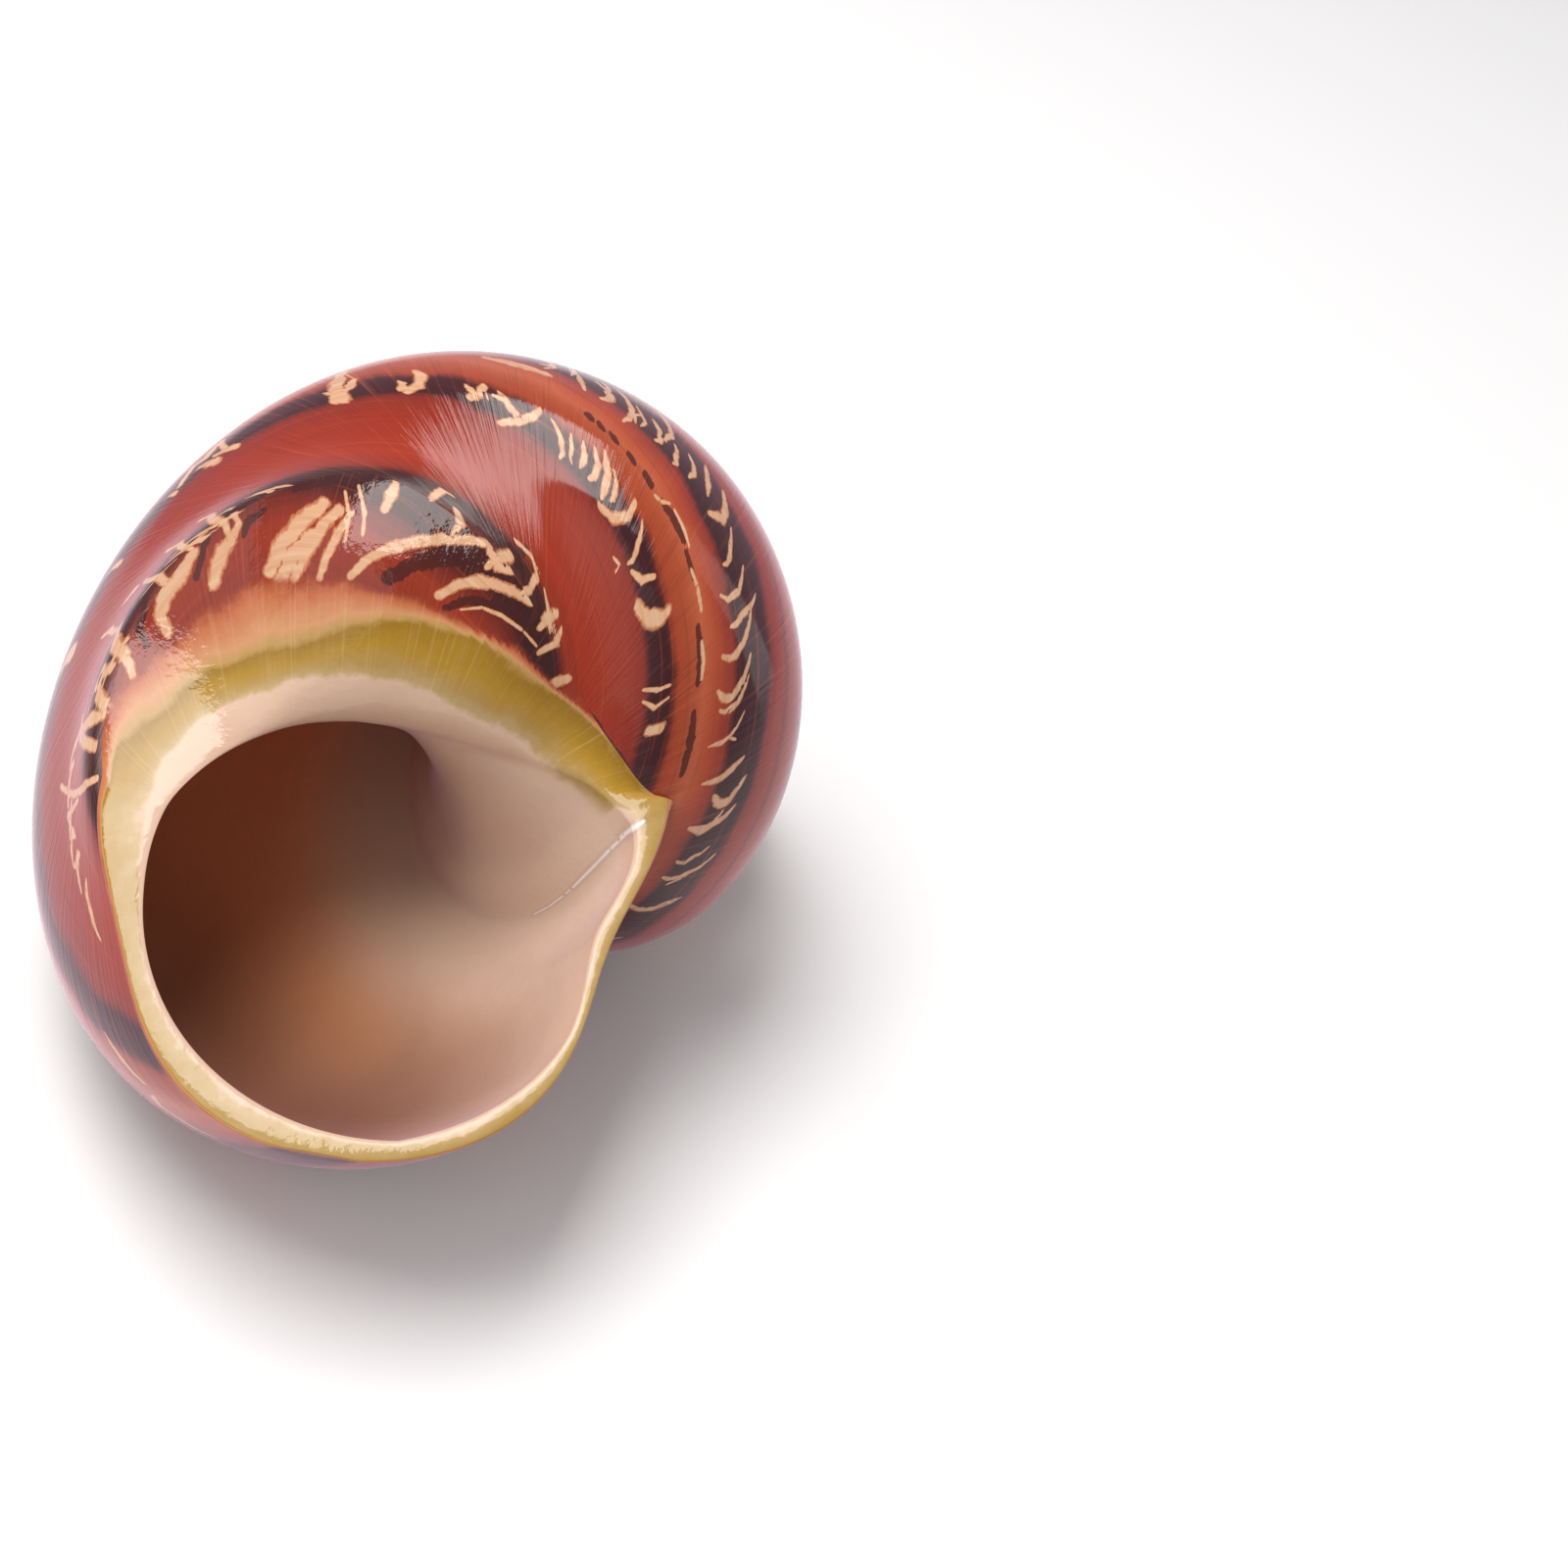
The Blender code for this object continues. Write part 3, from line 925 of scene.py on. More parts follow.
SIDE_STROKES = (
    PaintedStroke(CREAM, 10, ((350, 400), (357, 393), (362, 387))),
    PaintedStroke(CREAM, 3, ((362, 387), (352, 382), (344, 388))),
    PaintedStroke(CREAM, 12, ((414, 400), (427, 393), (431, 383), (424, 379))),
    PaintedStroke(CREAM, 10, ((479, 406), (488, 402), (494, 394))),
    PaintedStroke(CREAM, 3, ((494, 394), (498, 408))),
    PaintedStroke(CREAM, 9, ((510, 432), (528, 430), (545, 425), (551, 418))),
    PaintedStroke(CREAM, 10, ((612, 516), (626, 530), (641, 526), (648, 513))),
    PaintedStroke(CREAM, 4, ((626, 569), (632, 576), (628, 584))),
    PaintedStroke(CREAM, 6, ((644, 583), (655, 592), (668, 588))),
    PaintedStroke(CREAM, 14, ((650, 618), (660, 630), (672, 633), (682, 624))),
    PaintedStroke(CREAM, 4, ((656, 704), (672, 704), (684, 699))),
    PaintedStroke(CREAM, 4, ((656, 716), (668, 722), (682, 712))),
    PaintedStroke(CREAM, 14, ((662, 745), (674, 743))),
    PaintedStroke(CREAM, 4, ((688, 520), (698, 540), (704, 560))),
    PaintedStroke(CREAM, 5, ((705, 580), (712, 600), (716, 625))),
    PaintedStroke(CREAM, 5, ((716, 655), (718, 675), (716, 692))),
    PaintedStroke(CREAM, 4, ((668, 505), (675, 512), (684, 514))),
    PaintedStroke(DARK, 14, ((599, 423), (604, 427))),
    PaintedStroke(DARK, 14, ((611, 432), (615, 437))),
    PaintedStroke(DARK, 14, ((624, 444), (629, 450))),
    PaintedStroke(DARK, 14, ((642, 464), (647, 471))),
    PaintedStroke(DARK, 15, ((659, 486), (664, 494))),
    PaintedStroke(DARK, 11, ((676, 512), (690, 534), (698, 552))),
    PaintedStroke(DARK, 10, ((700, 562), (708, 590))),
    PaintedStroke(DARK, 10, ((712, 640), (715, 668), (712, 700))),
    PaintedStroke(DARK, 10, ((708, 726), (704, 760), (696, 790))),
    PaintedStroke(CREAM, 40, ((1000, 1000), (1040, 985), (1060, 965)), BACK_VIEW),
    PaintedStroke(CREAM, 30, ((1005, 1030), (1050, 1022)), BACK_VIEW),
    PaintedStroke(
        CREAM, 10, ((1000, 1065), (1012, 1050), (1030, 1052), (1045, 1040), (1062, 1055)), BACK_VIEW,
    ),
    PaintedStroke(CREAM, 26, ((1120, 800), (1165, 800), (1200, 780)), BACK_VIEW),
    PaintedStroke(CREAM, 14, ((925, 835), (960, 812), (1010, 795)), BACK_VIEW),
    PaintedStroke(CREAM, 18, ((1185, 700), (1225, 705), (1232, 730)), BACK_VIEW),
    PaintedStroke(CREAM, 16, ((1105, 725), (1108, 770), (1140, 788), (1195, 772), (1228, 742)), BACK_VIEW),
    PaintedStroke(CREAM, 18, ((1255, 512), (1285, 508), (1325, 515)), BACK_VIEW),
    PaintedStroke(CREAM, 14, ((1240, 830), (1222, 828)), BACK_VIEW),
    PaintedStroke(CREAM, 16, ((1205, 1000), (1208, 1020), (1214, 1040)), BACK_VIEW),
    PaintedStroke(CREAM, 14, ((1378, 962), (1410, 958), (1445, 950)), BACK_VIEW),
)

GLAZE_EDGE = ((60, 800), (118, 712), (150, 678), (190, 645), (250, 603), (300, 590), (350, 592), (400, 606),
              (440, 620), (480, 642), (530, 666), (565, 702), (610, 736), (650, 785), (700, 830))
YELLOW_EDGE = ((60, 920), (125, 790), (155, 735), (190, 702), (215, 684), (260, 668), (300, 660), (350, 644),
               (400, 632), (450, 636), (500, 656), (545, 692), (590, 724), (640, 776), (690, 835))
NACRE_EDGE = ((100, 960), (150, 815), (168, 772), (200, 735), (240, 714), (280, 702), (300, 694), (350, 685),
              (400, 692), (440, 703), (480, 726), (520, 748), (560, 778), (590, 808), (612, 850))
OPENING_EDGE = ((120, 960), (147, 900), (170, 825), (200, 782), (230, 757), (260, 743), (310, 735),
                (350, 738), (400, 760), (440, 790), (480, 850), (520, 920), (560, 960))
ZONE_EDGES = (GLAZE_EDGE, YELLOW_EDGE, NACRE_EDGE, OPENING_EDGE)


def inside_line(pixels: Array, line: tuple) -> Array:
    """How far places lie inside a line that runs from left to right.

    Args:
        pixels: the places, in the mouth view.
        line: the line's points.

    Returns:
        The distance in pixels, positive below the line, towards the mouth.
    """
    line = np.asarray(line, float)
    start, stop = line[:-1], line[1:]
    way = stop - start
    length = np.hypot(way[:, 0], way[:, 1])
    way = way / length[:, None]
    gap = pixels[..., None, :] - start
    along = np.clip((gap * way).sum(axis=-1), 0.0, length)
    near = gap - along[..., None] * way
    distance = np.hypot(near[..., 0], near[..., 1])
    best = distance.argmin(axis=-1)
    nearest = gap[(*np.indices(best.shape), best)]
    side = np.sign(way[best, 0] * nearest[..., 1] - way[best, 1] * nearest[..., 0])
    return side * distance.min(axis=-1)


def photo_zones(pixels: Array) -> Array:
    """Which zone of the mouth's surroundings places lie in.

    Args:
        pixels: the places, in the mouth view.

    Returns:
        0 on bare whorl, 1 at the glaze's edge, 2 at the yellow-green's, 3 at the nacre's, 4 at the opening.
    """
    shape = pixels.shape[:-1]
    flat = pixels.reshape(-1, 2)
    distances = [inside_line(flat, line) for line in ZONE_EDGES]
    zone = np.clip(1 + distances[0] / GLAZE_FADE, 0.0, 1.0)
    for index in range(3):
        outer, inner = distances[index], -distances[index + 1]
        share = np.clip(outer, 0, None) / np.maximum(np.clip(outer, 0, None) + np.clip(inner, 0, None), 1e-6)
        zone = np.where(outer > 0, index + 1 + share, zone)
    return np.where(distances[3] > 0, 4.0, zone).reshape(shape)


@dataclass
class ShellForm:
    """All the shell's surfaces as grids: the outer skin, the mouth's lining and the rim with its callus.

    Args:
        spiral: the growth.
        lip: the shape of the mouth's lining.
        lying: how the shell lies.
        body_first: the turn where the body whorl's sheet starts.
        skin_step: the grid's spacing on the skin, in metres.
        skin_angles: the section's angles that the skin spans, in degrees.
        lining_first: the innermost turn of the lining.
        lining_step: the grid's spacing on the lining, in metres.
        rim_columns: how many places round the mouth the rim has.
        rim_rows: how many rows lead from its outside to its inside.
        lip_rows: places across the rim, from its outside to its inside.
        lip_zones: the zone at each of them.
        corner_zones: the zone at each of them near the mouth's upper corner.
        callus_places: degrees round the mouth where the callus's edge is given.
        callus_turns: the turn of that edge.
        callus_angles: the section's angle of that edge, in degrees.
        body_columns: how many points the body whorl's sheet has across.
        spire_columns: how many points the spire's has.
        overlap: how far the two lie over each other, in turns.
        skin_least: the fewest rows of the skin in a turn.
        lining_least: the fewest rows of the lining in a turn.
        lining_columns: how many points the lining has across.
        caps: how wide the rings are that close the lining, as shares of its last row.
        shallow: the turns over which the lip's zones give way to the lining's.
        callus_start: the degrees where the outer lip gives way to the inner one at the base.
        callus_stop: the degrees where it does at the upper corner.
        corner_start: the degrees where the upper corner's zones begin.
        corner_stop: the degrees where they end.
        rim_step: the turns over which the ways into and out of the rim are read.
        fullness: how far the rim bulges, as a share of its width.
        callus_leaving: how much further it does where it leaves the skin on the inner side.
        callus_arriving: how much less it does where it meets the lining there.
    """

    spiral: Spiral = field(default_factory=Spiral)
    lip: LipShape = field(default_factory=LipShape)
    lying: Lying = field(default_factory=Lying)
    body_first: float = -1.02
    skin_step: float = 0.00055
    skin_angles: tuple[float, float] = (-152.0, 152.0)
    lining_first: float = -0.93
    lining_step: float = 0.0008
    rim_columns: int = 460
    rim_rows: int = 44
    lip_rows: tuple[float, ...] = (0.0, 0.12, 0.20, 0.62, 0.72, 1.0)
    lip_zones: tuple[float, ...] = (1.1, 1.3, 2.76, 2.94, 3.1, 4.0)
    corner_zones: tuple[float, ...] = (1.1, 1.3, 2.74, 2.92, 2.99, 3.4)
    callus_places: tuple[float, ...] = (
        -118, -125, -140, -158, -176, -195, -210, -222, -232, -246, -254, -259,
    )
    callus_turns: tuple[float, ...] = (
        0.0, -0.075, -0.178, -0.29, -0.40, -0.50, -0.565, -0.62, -0.70, -0.781, -0.813, -0.829,
    )
    callus_angles: tuple[float, ...] = (
        -118, -122, -122, -116, -105, -96, -101, -103, -89, -63.5, -49, -37.8,
    )
    body_columns: int = 240
    spire_columns: int = 150
    overlap: float = 0.02
    skin_least: float = 110.0
    lining_least: float = 60.0
    lining_columns: int = 260
    caps: tuple[float, ...] = (0.02, 0.5, 0.9)
    shallow: tuple[float, float] = (0.02, 0.10)
    callus_start: tuple[float, float] = (-110, -128)
    callus_stop: tuple[float, float] = (-250, -262)
    corner_start: tuple[float, float] = (-318, -280)
    corner_stop: tuple[float, float] = (-262, -256)
    rim_step: float = 0.004
    fullness: float = 0.85
    callus_leaving: float = 0.35
    callus_arriving: float = 0.1

    def turns_between(self, first: float, last: float, step: float, least: float) -> Array:
        """Turns that are evenly spaced on the skin.

        Args:
            first: the first turn.
            last: the last turn.
            step: the spacing, in metres.
            least: the fewest in a whole turn.

        Returns:
            The turns, in rising order.
        """
        turns = [last]
        while turns[-1] > first:
            girth = FULL_TURN * float(self.spiral.orbit(turns[-1]) + self.spiral.size(turns[-1]))
            turns.append(turns[-1] - min(step / girth, 1.0 / least))
        return np.array(turns[::-1])

    def skin(self, name: str, first: float, last: float, columns: int) -> Sheet:
        """A stretch of the outer skin.

        Args:
            name: the piece's name.
            first: the turn where it starts.
            last: the turn where it ends.
            columns: how many points it has across.

        Returns:
            The sheet.
        """
        turns = self.turns_between(first, last, self.skin_step, self.skin_least)[:, None]
        angles = np.radians(np.linspace(*self.skin_angles, columns))[None, :]
        turns, angles = np.broadcast_arrays(turns, angles)
        points = self.spiral.at(turns, angles)
        normals = self.spiral.outward_at(turns, angles)
        middle = self.spiral.frame(turns)[0]
        if ((points - middle) * normals).sum(axis=-1).mean() < 0:
            normals = -normals
        return Sheet(name, points, turns, angles, normals=normals)

    def lining(self) -> Sheet:
        """The mouth's inside, closed off where it ends.

        Returns:
            The sheet.
        """
        turns = self.turns_between(self.lining_first, 0.0, self.lining_step, self.lining_least)
        angles = np.radians(np.linspace(0.0, -360.0, self.lining_columns, endpoint=False))
        grid_turns, grid_angles = np.broadcast_arrays(turns[:, None], angles[None, :])
        reach = self.lip.lining(self.spiral, grid_turns, grid_angles)
        points = self.spiral.at(grid_turns, grid_angles, reach)
        caps = [self.spiral.at(grid_turns[0], grid_angles[0], reach[0] * share) for share in self.caps]
        points = np.concatenate([np.array(caps), points])
        count = len(caps)
        grid_turns = np.concatenate([grid_turns[:count] * 0 + turns[0], grid_turns])
        grid_angles = np.concatenate([grid_angles[:count], grid_angles])
        pixels = MOUTH_VIEW.project(points)
        shallow = 1 - ease(*self.shallow, -grid_turns)
        lip_side = self.on_callus(grid_angles)
        zones = 4 - (4 - photo_zones(pixels)) * shallow * lip_side
        return Sheet(
            "mouth_lining", points, grid_turns, grid_angles, zones, -grid_turns, pixels=pixels, closed=True,
            flip=True,
        )

    def on_callus(self, angle: Array) -> Array:
        """Which side of the mouth places are on.

        Args:
            angle: the section's angles, in radians.

        Returns:
            1 on the inner lip's side and 0 on the outer lip's.
        """
        degrees = round_mouth(angle)
        return ease(*self.callus_start, degrees) * (1 - ease(*self.callus_stop, degrees))

    def rim(self) -> Sheet:
        """The rounded outer lip and, on the inner side, the callus that spreads over the whorl's base.

        Returns:
            The sheet.
        """
        spiral = self.spiral
        degrees = np.linspace(0.0, -360.0, self.rim_columns, endpoint=False)
        angles = np.radians(degrees)
        at_lip = np.zeros_like(angles)
        outer = spiral.at(at_lip, angles)
        callus = (degrees < self.callus_places[0]) & (degrees > self.callus_places[-1])
        places = np.array(self.callus_places, float)[::-1]
        turns = smooth_table(places, self.callus_turns[::-1], degrees)
        skin_angles = np.radians(smooth_table(places, self.callus_angles[::-1], degrees))
        start = np.where(callus[:, None], spiral.at(turns, skin_angles), outer)
        start_turn = np.where(callus, turns, 0.0)
        start_angle = np.where(callus, skin_angles, angles)
        reach = self.lip.lining(spiral, at_lip, angles)
        stop = spiral.at(at_lip, angles, reach)
        step = self.rim_step
        deeper = spiral.at(at_lip - step, angles, self.lip.lining(spiral, at_lip - step, angles))
        inward = unit(deeper - stop)
        normal = spiral.outward_at(start_turn, start_angle)
        outward = start - spiral.frame(start_turn)[0]
        normal = normal * np.sign((normal * outward).sum(axis=-1, keepdims=True))
        across = stop - start
        width = np.linalg.norm(across, axis=-1, keepdims=True)
        along_skin = unit(across - (across * normal).sum(axis=-1, keepdims=True) * normal)
        forward = unit(spiral.at(at_lip + step, angles) - outer)
        share = self.on_callus(angles)[:, None]
        way_out = unit(forward * (1 - share) + along_skin * share)
        leaving = way_out * width * (self.fullness + self.callus_leaving * share)
        arriving = inward * width * (self.fullness - self.callus_arriving * share)
        rows = np.linspace(0.0, 1.0, self.rim_rows)[:, None, None]
        points = curve(rows, start, leaving, stop, arriving)
        inwards = np.linalg.norm(points - start, axis=-1) / spiral.size(start_turn)
        grid_turns = np.broadcast_to(start_turn, points.shape[:2])
        grid_angles = start_angle - np.where(callus, inwards, 0.0)
        down = np.broadcast_to(rows[..., 0], points.shape[:2])
        corner = ease(*self.corner_start, degrees) * (1 - ease(*self.corner_stop, degrees))
        lip_zone = np.interp(down, self.lip_rows, self.lip_zones)
        lip_zone = lip_zone + corner * (np.interp(down, self.lip_rows, self.corner_zones) - lip_zone)
        mix = self.on_callus(angles)
        pixels = MOUTH_VIEW.project(points)
        zones = lip_zone * (1 - mix) + photo_zones(pixels) * mix
        depth = np.zeros_like(zones)
        return Sheet(
            "rim_and_callus", points, grid_turns, grid_angles, zones, depth, pixels=pixels, closed=True,
        )


@dataclass
class Skin:
    """Finds what lies under a pixel of the photograph.

    Args:
        sheets: the surfaces that it looks at.
        spiral: the growth.
        tree: the faces, sorted for looking up.
        face_turns: the turn of each face.
    """

    sheets: list[Sheet]
    spiral: Spiral
    tree: BVHTree | None = None
    face_turns: Array | None = None

    def __post_init__(self) -> None:
        """Sorts the faces of all the sheets."""
        points, faces, turns, base = [], [], [], 0
        for sheet in self.sheets:
            quads = sheet.quads()
            points.append(sheet.points.reshape(-1, 3))
            faces += (quads + base).tolist()
            turns.append(sheet.turns.ravel()[quads[:, 0]])
            base += points[-1].shape[0]
        self.face_turns = np.concatenate(turns)
        self.tree = BVHTree.FromPolygons(np.concatenate(points).tolist(), faces)

    def find(self, view: PhotoView, pixel: tuple[float, float]) -> tuple[float, float] | None:
        """The growth coordinates under a pixel.

        Args:
            view: the view.
            pixel: the column and the row.

        Returns:
            The turn and the section's angle, or None where the view shows no skin.
        """
        place, _, face, _ = self.tree.ray_cast(Vector(view.eye()), Vector(view.rays(pixel)))
        if place is None:
            LOG.warning("no skin under %s", pixel)
            return None
        turn, angle = self.spiral.locate(np.array(place), self.face_turns[face])
        return float(turn), float(angle)

    def normal(self, view: PhotoView, pixel: tuple[float, float]) -> tuple[Array, Array]:
        """The surface under a pixel.

        Args:
            view: the view.
            pixel: the column and the row.

        Returns:
            The point and its normal towards the viewer, in the shell's frame.
        """
        place, normal, _, _ = self.tree.ray_cast(Vector(view.eye()), Vector(view.rays(pixel)))
        if normal.dot(Vector(view.rays(pixel))) > 0:
            normal = -normal
        return np.array(place), np.array(normal)


@dataclass
class Markings:
    """All the painted marks: those that the photograph shows, and more of the same where it shows none.

    Args:
        skin: the surfaces that they lie on.
        seed: where the random numbers start.
        tick_angle: where the row of ticks lies round the section, in degrees.
        tick_spacing: between ticks, in metres.
        older_first: the turn where the older whorls' marks start.
        older_last: the turn where the photograph's own marks take over.
        last_mark: the turn where the ticks and flames end.
        flame_angle: where the flames' middle lies round the section, in degrees.
        flame_top: where their upper end lies, in degrees.
        flame_points: how many points a flame has.
    """

    skin: Skin
    seed: int = 11
    tick_angle: float = 84.0
    tick_spacing: float = 0.00135
    older_first: float = -4.6
    older_last: float = -0.93
    last_mark: float = -0.02
    flame_angle: float = 62.0
    flame_top: float = 76.0
    flame_points: int = 6

    def build(self) -> StrokeSet:
        """Lays all the marks.

        Returns:
            The strokes of each kind: those on the skin, and those in the mouth view's pixels.
        """
        rng = np.random.default_rng(self.seed)
        spiral = self.skin.spiral
        groups = {kind: (StrokeGroup(spiral), PhotoStrokeGroup(spiral)) for kind in StrokeKind}
        cream = groups[StrokeKind.CREAM][0]
        for band in BANDS:
            pixels = [(MOUTH_VIEW, pixel) for pixel in band.mouth_pixels]
            pixels += [(BACK_VIEW, pixel) for pixel in band.back_pixels]
            for view, pixel in pixels:
                found = self.skin.find(view, pixel)
                if found:
                    band.row.stroke(cream, *found, rng)
            if band.older:
                band.row.fill(cream, self.older_first, self.older_last, rng)
        for stroke in BASE_STROKES + SIDE_STROKES:
            self.paint(*groups[stroke.kind], stroke)
        self.ticks(cream, rng)
        self.flames(cream, rng)
        for kind, (on_skin, in_photo) in groups.items():
            LOG.info("%s strokes: %d and %d pieces", kind.value, len(on_skin.pieces), len(in_photo.pieces))
        return groups

    def paint(self, on_skin: StrokeGroup, in_photo: PhotoStrokeGroup, stroke: PaintedStroke) -> None:
        """Lays one of the photograph's strokes on the skin, and a base stroke in its pixels too.

        Args:
            on_skin: the strokes on the skin.
            in_photo: the strokes in the mouth view's pixels.
            stroke: the stroke.
        """
        pixels = np.array(stroke.pixels, float)
        half = stroke.width / 2 * stroke.view.radius / stroke.view.scale
        widths = half * (1 - 0.35 * np.abs(np.linspace(-1.0, 1.0, len(pixels))))
        if stroke in BASE_STROKES:
            in_photo.add(pixels[:, 0], pixels[:, 1], widths)
        found = [(self.skin.find(stroke.view, pixel), width) for pixel, width in zip(stroke.pixels, widths)]
        found = [(place, width) for place, width in found if place]
        if len(found) > 1:
            turns, angles = np.array([place for place, _ in found]).T
            on_skin.add(turns, np.unwrap(angles), [width for _, width in found])

    def ticks(self, group: StrokeGroup, rng: Random) -> None:
        """The close row of slanted ticks under the suture.

        Args:
            group: the strokes that they join.
            rng: the random numbers.
        """
        spiral = self.skin.spiral
        turn = self.older_first
        row = Crescents(self.tick_angle, self.tick_spacing, 0.0013, 0.0003, -0.0005, 0.00026, branch=0.1)
        while turn < self.last_mark:
            angle = math.radians(self.tick_angle + rng.normal(0, 1.0))
            scale = grown(spiral, turn, 0.3)
            row.stroke(group, turn, angle, rng, scale)
            radius = np.linalg.norm(spiral.at(turn, angle)[:2])
            turn += row.spacing * scale / (FULL_TURN * radius) * rng.uniform(0.7, 1.3)

    def flames(self, group: StrokeGroup, rng: Random) -> None:
        """Slanting zigzag flames between the ticks and the upper dark band.

        Args:
            group: the strokes that they join.
            rng: the random numbers.
        """
        spiral = self.skin.spiral
        turn = self.older_first
        while turn < self.last_mark:
            scale = grown(spiral, turn, 0.3)
            radius = np.linalg.norm(spiral.at(turn, math.radians(self.flame_angle))[:2])
            metre = 1 / (FULL_TURN * radius)
            count = self.flame_points
            angles = np.radians(np.linspace(self.flame_top, rng.uniform(46, 56), count))
            sway = np.where(np.arange(count) % 2, 0.0007, -0.0005) * rng.uniform(0.5, 1.4, count)
            lean = np.linspace(0.0, rng.uniform(-0.0035, 0.0005), count)
            widths = rng.uniform(0.00022, 0.0006) * rng.uniform(0.6, 1.3, count)
            group.add(turn + (sway + lean) * scale * metre, angles, widths * scale)
            turn += rng.uniform(0.0022, 0.0048) * scale * metre


def linear(code: str) -> tuple[float, ...]:
    """A colour's linear values.

    Args:
        code: its six-digit code, after a hash sign.

    Returns:
        Red, green, blue and an alpha of 1.
    """
    values = [int(code[index:index + 2], 16) / 255 for index in (1, 3, 5)]
    values = [value / 12.92 if value <= 0.04045 else ((value + 0.055) / 1.055) ** 2.4 for value in values]
    return (*values, 1.0)


class Graph:
    """Adds nodes to a shader tree and links them."""

    def __init__(self, tree: Tree) -> None:
        """Takes the tree to add to."""
        self.tree = tree

    def node(self, kind: str, inputs: dict | None = None, **settings: object) -> bpy.types.Node:
        """Adds a node.

        Args:
            kind: the node's type.
            inputs: a socket or a constant for each input, by name or index.
            settings: the node's own settings.

        Returns:
            The node.
        """
        node = self.tree.nodes.new(kind)
        for name, value in settings.items():
            setattr(node, name, value)
        for key, value in (inputs or {}).items():
            self.set(node.inputs[key], value)
        return node

    def set(self, socket: Socket, value: object) -> None:
        """Links a socket into another, or gives it a constant.

        Args:
            socket: the socket that is fed.
            value: a socket or a constant.
        """
        if isinstance(value, Socket):
            self.tree.links.new(value, socket)
        else:
            socket.default_value = value

    def math(self, operation: str, *values: object) -> Socket:
        """One sum.

        Args:
            operation: its kind.
            values: sockets or constants.

        Returns:
            The result.
        """
        node = self.node("ShaderNodeMath", operation=operation)
        for socket, value in zip(node.inputs, values):
            self.set(socket, value)
        return node.outputs[0]

    def parts(self, vector: Socket) -> list[Socket]:
        """The three parts of a vector."""
        return self.node("ShaderNodeSeparateXYZ", {0: vector}).outputs

    def noise(self, vector: Socket, scale: float, detail: float = 2.0, rough: float = 0.5) -> Socket:
        """Noise from about -1 to 1.

        Args:
            vector: where it is read.
            scale: its waves for one unit.
            detail: how many finer layers it has.
            rough: how strong those are.

        Returns:
            The noise.
        """
        inputs = {"Vector": vector, "Scale": scale, "Detail": detail, "Roughness": rough}
        node = self.node("ShaderNodeTexNoise", inputs)
        return self.math("MULTIPLY_ADD", node.outputs["Fac"], 2.6, -1.3)

    def scaled(self, vector: Socket, factors: tuple[float, float, float]) -> Socket:
        """A vector times three factors."""
        return self.node("ShaderNodeVectorMath", {0: vector, 1: factors}, operation="MULTIPLY").outputs[0]

    def mask(self, value: Socket, low: float, high: float) -> Socket:
        """A smooth step.

        Args:
            value: what it reads.
            low: where it is 0, which may be the greater.
            high: where it is 1.

        Returns:
            The mask.
        """
        node = self.node("ShaderNodeMapRange", {"Value": value, "From Min": low, "From Max": high})
        node.interpolation_type = "SMOOTHSTEP"
        return node.outputs[0]

    def mix(self, share: Socket, one: Socket | str, other: Socket | str) -> Socket:
        """A blend of two colours.

        Args:
            share: how much of the second there is.
            one: the first, a socket or a code.
            other: the second, a socket or a code.

        Returns:
            The colour.
        """
        node = self.node("ShaderNodeMix", data_type="RGBA", blend_type="MIX")
        self.set(node.inputs["Factor"], share)
        for key, value in ((6, one), (7, other)):
            self.set(node.inputs[key], linear(value) if isinstance(value, str) else value)
        return node.outputs[2]

    def tint(self, colour: Socket, mask: Socket, share: float, other: str) -> Socket:
        """Blends a second colour into one by a share of a mask.

        Args:
            colour: the first colour.
            mask: where the second goes.
            share: how much of it there is at most.
            other: its code.

        Returns:
            The colour.
        """
        return self.mix(self.math("MULTIPLY", mask, share), colour, other)

    def ramp(self, value: Socket, stops: tuple | list) -> Socket:
        """A colour from a row of stops.

        Args:
            value: where in the row it is read, from 0 to 1.
            stops: a place and a colour's code each.

        Returns:
            The colour.
        """
        node = self.node("ShaderNodeValToRGB", {0: value})
        ramp = node.color_ramp
        while len(ramp.elements) < len(stops):
            ramp.elements.new(0.5)
        for element, (place, code) in zip(ramp.elements, stops):
            element.position = place
            element.color = linear(code)
        return node.outputs[0]


class EffectGroup:
    """A node group with named inputs and outputs."""

    def __init__(self, name: str, inputs: tuple, outputs: tuple) -> None:
        """Makes the group.

        Args:
            name: its name.
            inputs: a label and a socket type each.
            outputs: a label and a socket type each.
        """
        self.tree = bpy.data.node_groups.new(name, "ShaderNodeTree")
        for label, kind in inputs:
            self.tree.interface.new_socket(label, in_out="INPUT", socket_type=kind)
        for label, kind in outputs:
            self.tree.interface.new_socket(label, in_out="OUTPUT", socket_type=kind)
        self.graph = Graph(self.tree)
        self.inputs = self.tree.nodes.new("NodeGroupInput").outputs
        self.outputs = self.tree.nodes.new("NodeGroupOutput").inputs

    def put(self, label: str, value: Socket) -> None:
        """Links a socket to one of the group's outputs."""
        self.graph.set(self.outputs[label], value)


VECTOR, FLOAT, COLOUR = "NodeSocketVector", "NodeSocketFloat", "NodeSocketColor"


